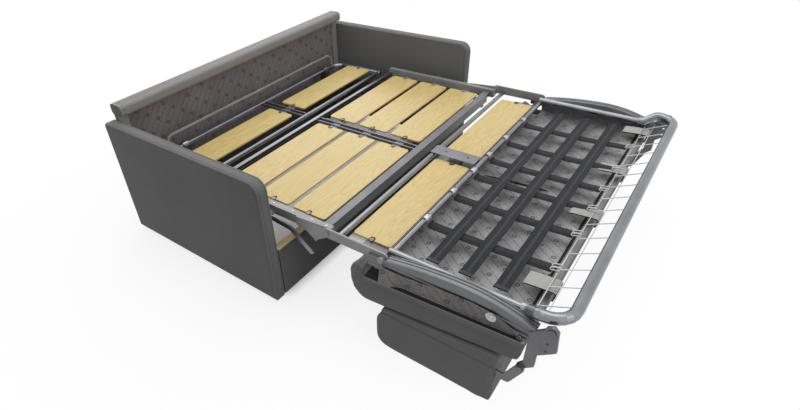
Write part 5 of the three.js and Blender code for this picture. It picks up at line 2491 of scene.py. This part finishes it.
@dataclass
class Studio:
    """A white floor, soft lamps and the camera."""

    camera_place: tuple[float, float, float] = (-1.849, -1.143, 1.594)
    azimuth: float = -50.236
    elevation: float = 36.619
    roll: float = -4.198
    lens: float = 23.105
    shift: Couple = (0.0738, 0.0109)
    sensor: float = 36
    floor_size: float = 40.0
    floor_sink: float = 0.0005
    world_strength: float = 0.55

    def build(self) -> None:
        """Sets up the view, the floor, the lamps and the world."""
        bpy.context.scene.view_settings.view_transform = "Standard"
        self._camera()
        self._floor()
        self._world()
        self._lamp("top_lamp", (0.8, 0.8, 7.0), (0.0, 0.0, 0.3), 7.0, 270)
        self._lamp("back_lamp", (3.4, 3.4, 3.4), (0.0, 0.2, 0.4), 2.6, 34)
        self._lamp("front_lamp", (-0.9, -4.4, 2.6), (0.0, -0.4, 0.2), 2.6, 42)

    def _camera(self) -> None:
        """Places the camera where the photograph was taken."""
        azimuth, elevation, roll = (math.radians(a) for a in (self.azimuth, self.elevation, self.roll))
        back = Vector((math.sin(azimuth) * math.cos(elevation), -math.cos(azimuth) * math.cos(elevation),
                       math.sin(elevation)))
        right = Vector((math.cos(azimuth), math.sin(azimuth), 0))
        up = back.cross(right)
        right2 = right * math.cos(roll) + up * math.sin(roll)
        up2 = up * math.cos(roll) - right * math.sin(roll)
        data = bpy.data.cameras.new("view")
        data.lens = self.lens
        data.sensor_width = self.sensor
        data.sensor_fit = "HORIZONTAL"
        data.shift_x, data.shift_y = self.shift
        camera = bpy.data.objects.new("view", data)
        turn = Matrix((right2, up2, back)).transposed()
        camera.matrix_world = Matrix.Translation(self.camera_place) @ turn.to_4x4()
        bpy.context.scene.collection.objects.link(camera)
        bpy.context.scene.camera = camera

    def _floor(self) -> None:
        """Lays the floor."""
        deselect()
        bpy.ops.mesh.primitive_plane_add(size=self.floor_size, location=(0, 0, -self.floor_sink))
        floor = named(bpy.context.active_object, "studio_floor")
        settle(floor)
        floor.data.materials.append(Backdrop().material())

    def _world(self) -> None:
        """Lights everything evenly, and looks white to the camera and in reflections."""
        world = bpy.data.worlds.new("studio")
        bpy.context.scene.world = world
        world.use_nodes = True
        tree = world.node_tree
        seen = tree.nodes.new("ShaderNodeBackground")
        for background, strength in ((tree.nodes["Background"], self.world_strength), (seen, 1)):
            background.inputs["Color"].default_value = (1, 1, 1, 1)
            background.inputs["Strength"].default_value = strength
        path = tree.nodes.new("ShaderNodeLightPath")
        either, any_seen = (tree.nodes.new("ShaderNodeMath") for _ in range(2))
        either.operation = any_seen.operation = "MAXIMUM"
        mixer = tree.nodes.new("ShaderNodeMixShader")
        for source, target in ((path.outputs["Is Camera Ray"], either.inputs[0]),
                               (path.outputs["Is Glossy Ray"], either.inputs[1]),
                               (either.outputs[0], any_seen.inputs[0]),
                               (path.outputs["Is Transmission Ray"], any_seen.inputs[1]),
                               (any_seen.outputs[0], mixer.inputs[0]),
                               (tree.nodes["Background"].outputs[0], mixer.inputs[1]),
                               (seen.outputs[0], mixer.inputs[2]),
                               (mixer.outputs[0], tree.nodes["World Output"].inputs["Surface"])):
            tree.links.new(source, target)

    @staticmethod
    def _lamp(name: str, place: Place, target: Place, size: float, power: float) -> None:
        """Adds a square soft lamp.

        Args:
            name: the lamp's name.
            place: where it hangs.
            target: the point that it faces.
            size: its side.
            power: its power in watts.
        """
        data = bpy.data.lights.new(name, "AREA")
        data.shape = "SQUARE"
        data.size = size
        data.energy = power
        lamp = bpy.data.objects.new(name, data)
        lamp.location = place
        lamp.rotation_euler = (Vector(target) - Vector(place)).to_track_quat("-Z", "Y").to_euler()
        bpy.context.scene.collection.objects.link(lamp)


def main() -> None:
    """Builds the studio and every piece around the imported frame."""
    logging.basicConfig(level=logging.INFO, format="%(asctime)s %(message)s")
    random.seed(7)
    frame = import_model()
    Studio().build()
    finishes = Finishes()
    FrameFinishes(finishes, frame["nodes"]).build()
    for assembly in (Arms, Back, FrontRail, SeatPad, BackrestPad, Straps, Tabs, PillowRail, RailRivets,
                     ChannelCaps):
        assembly(finishes).build()


if __name__ == "__main__":
    main()
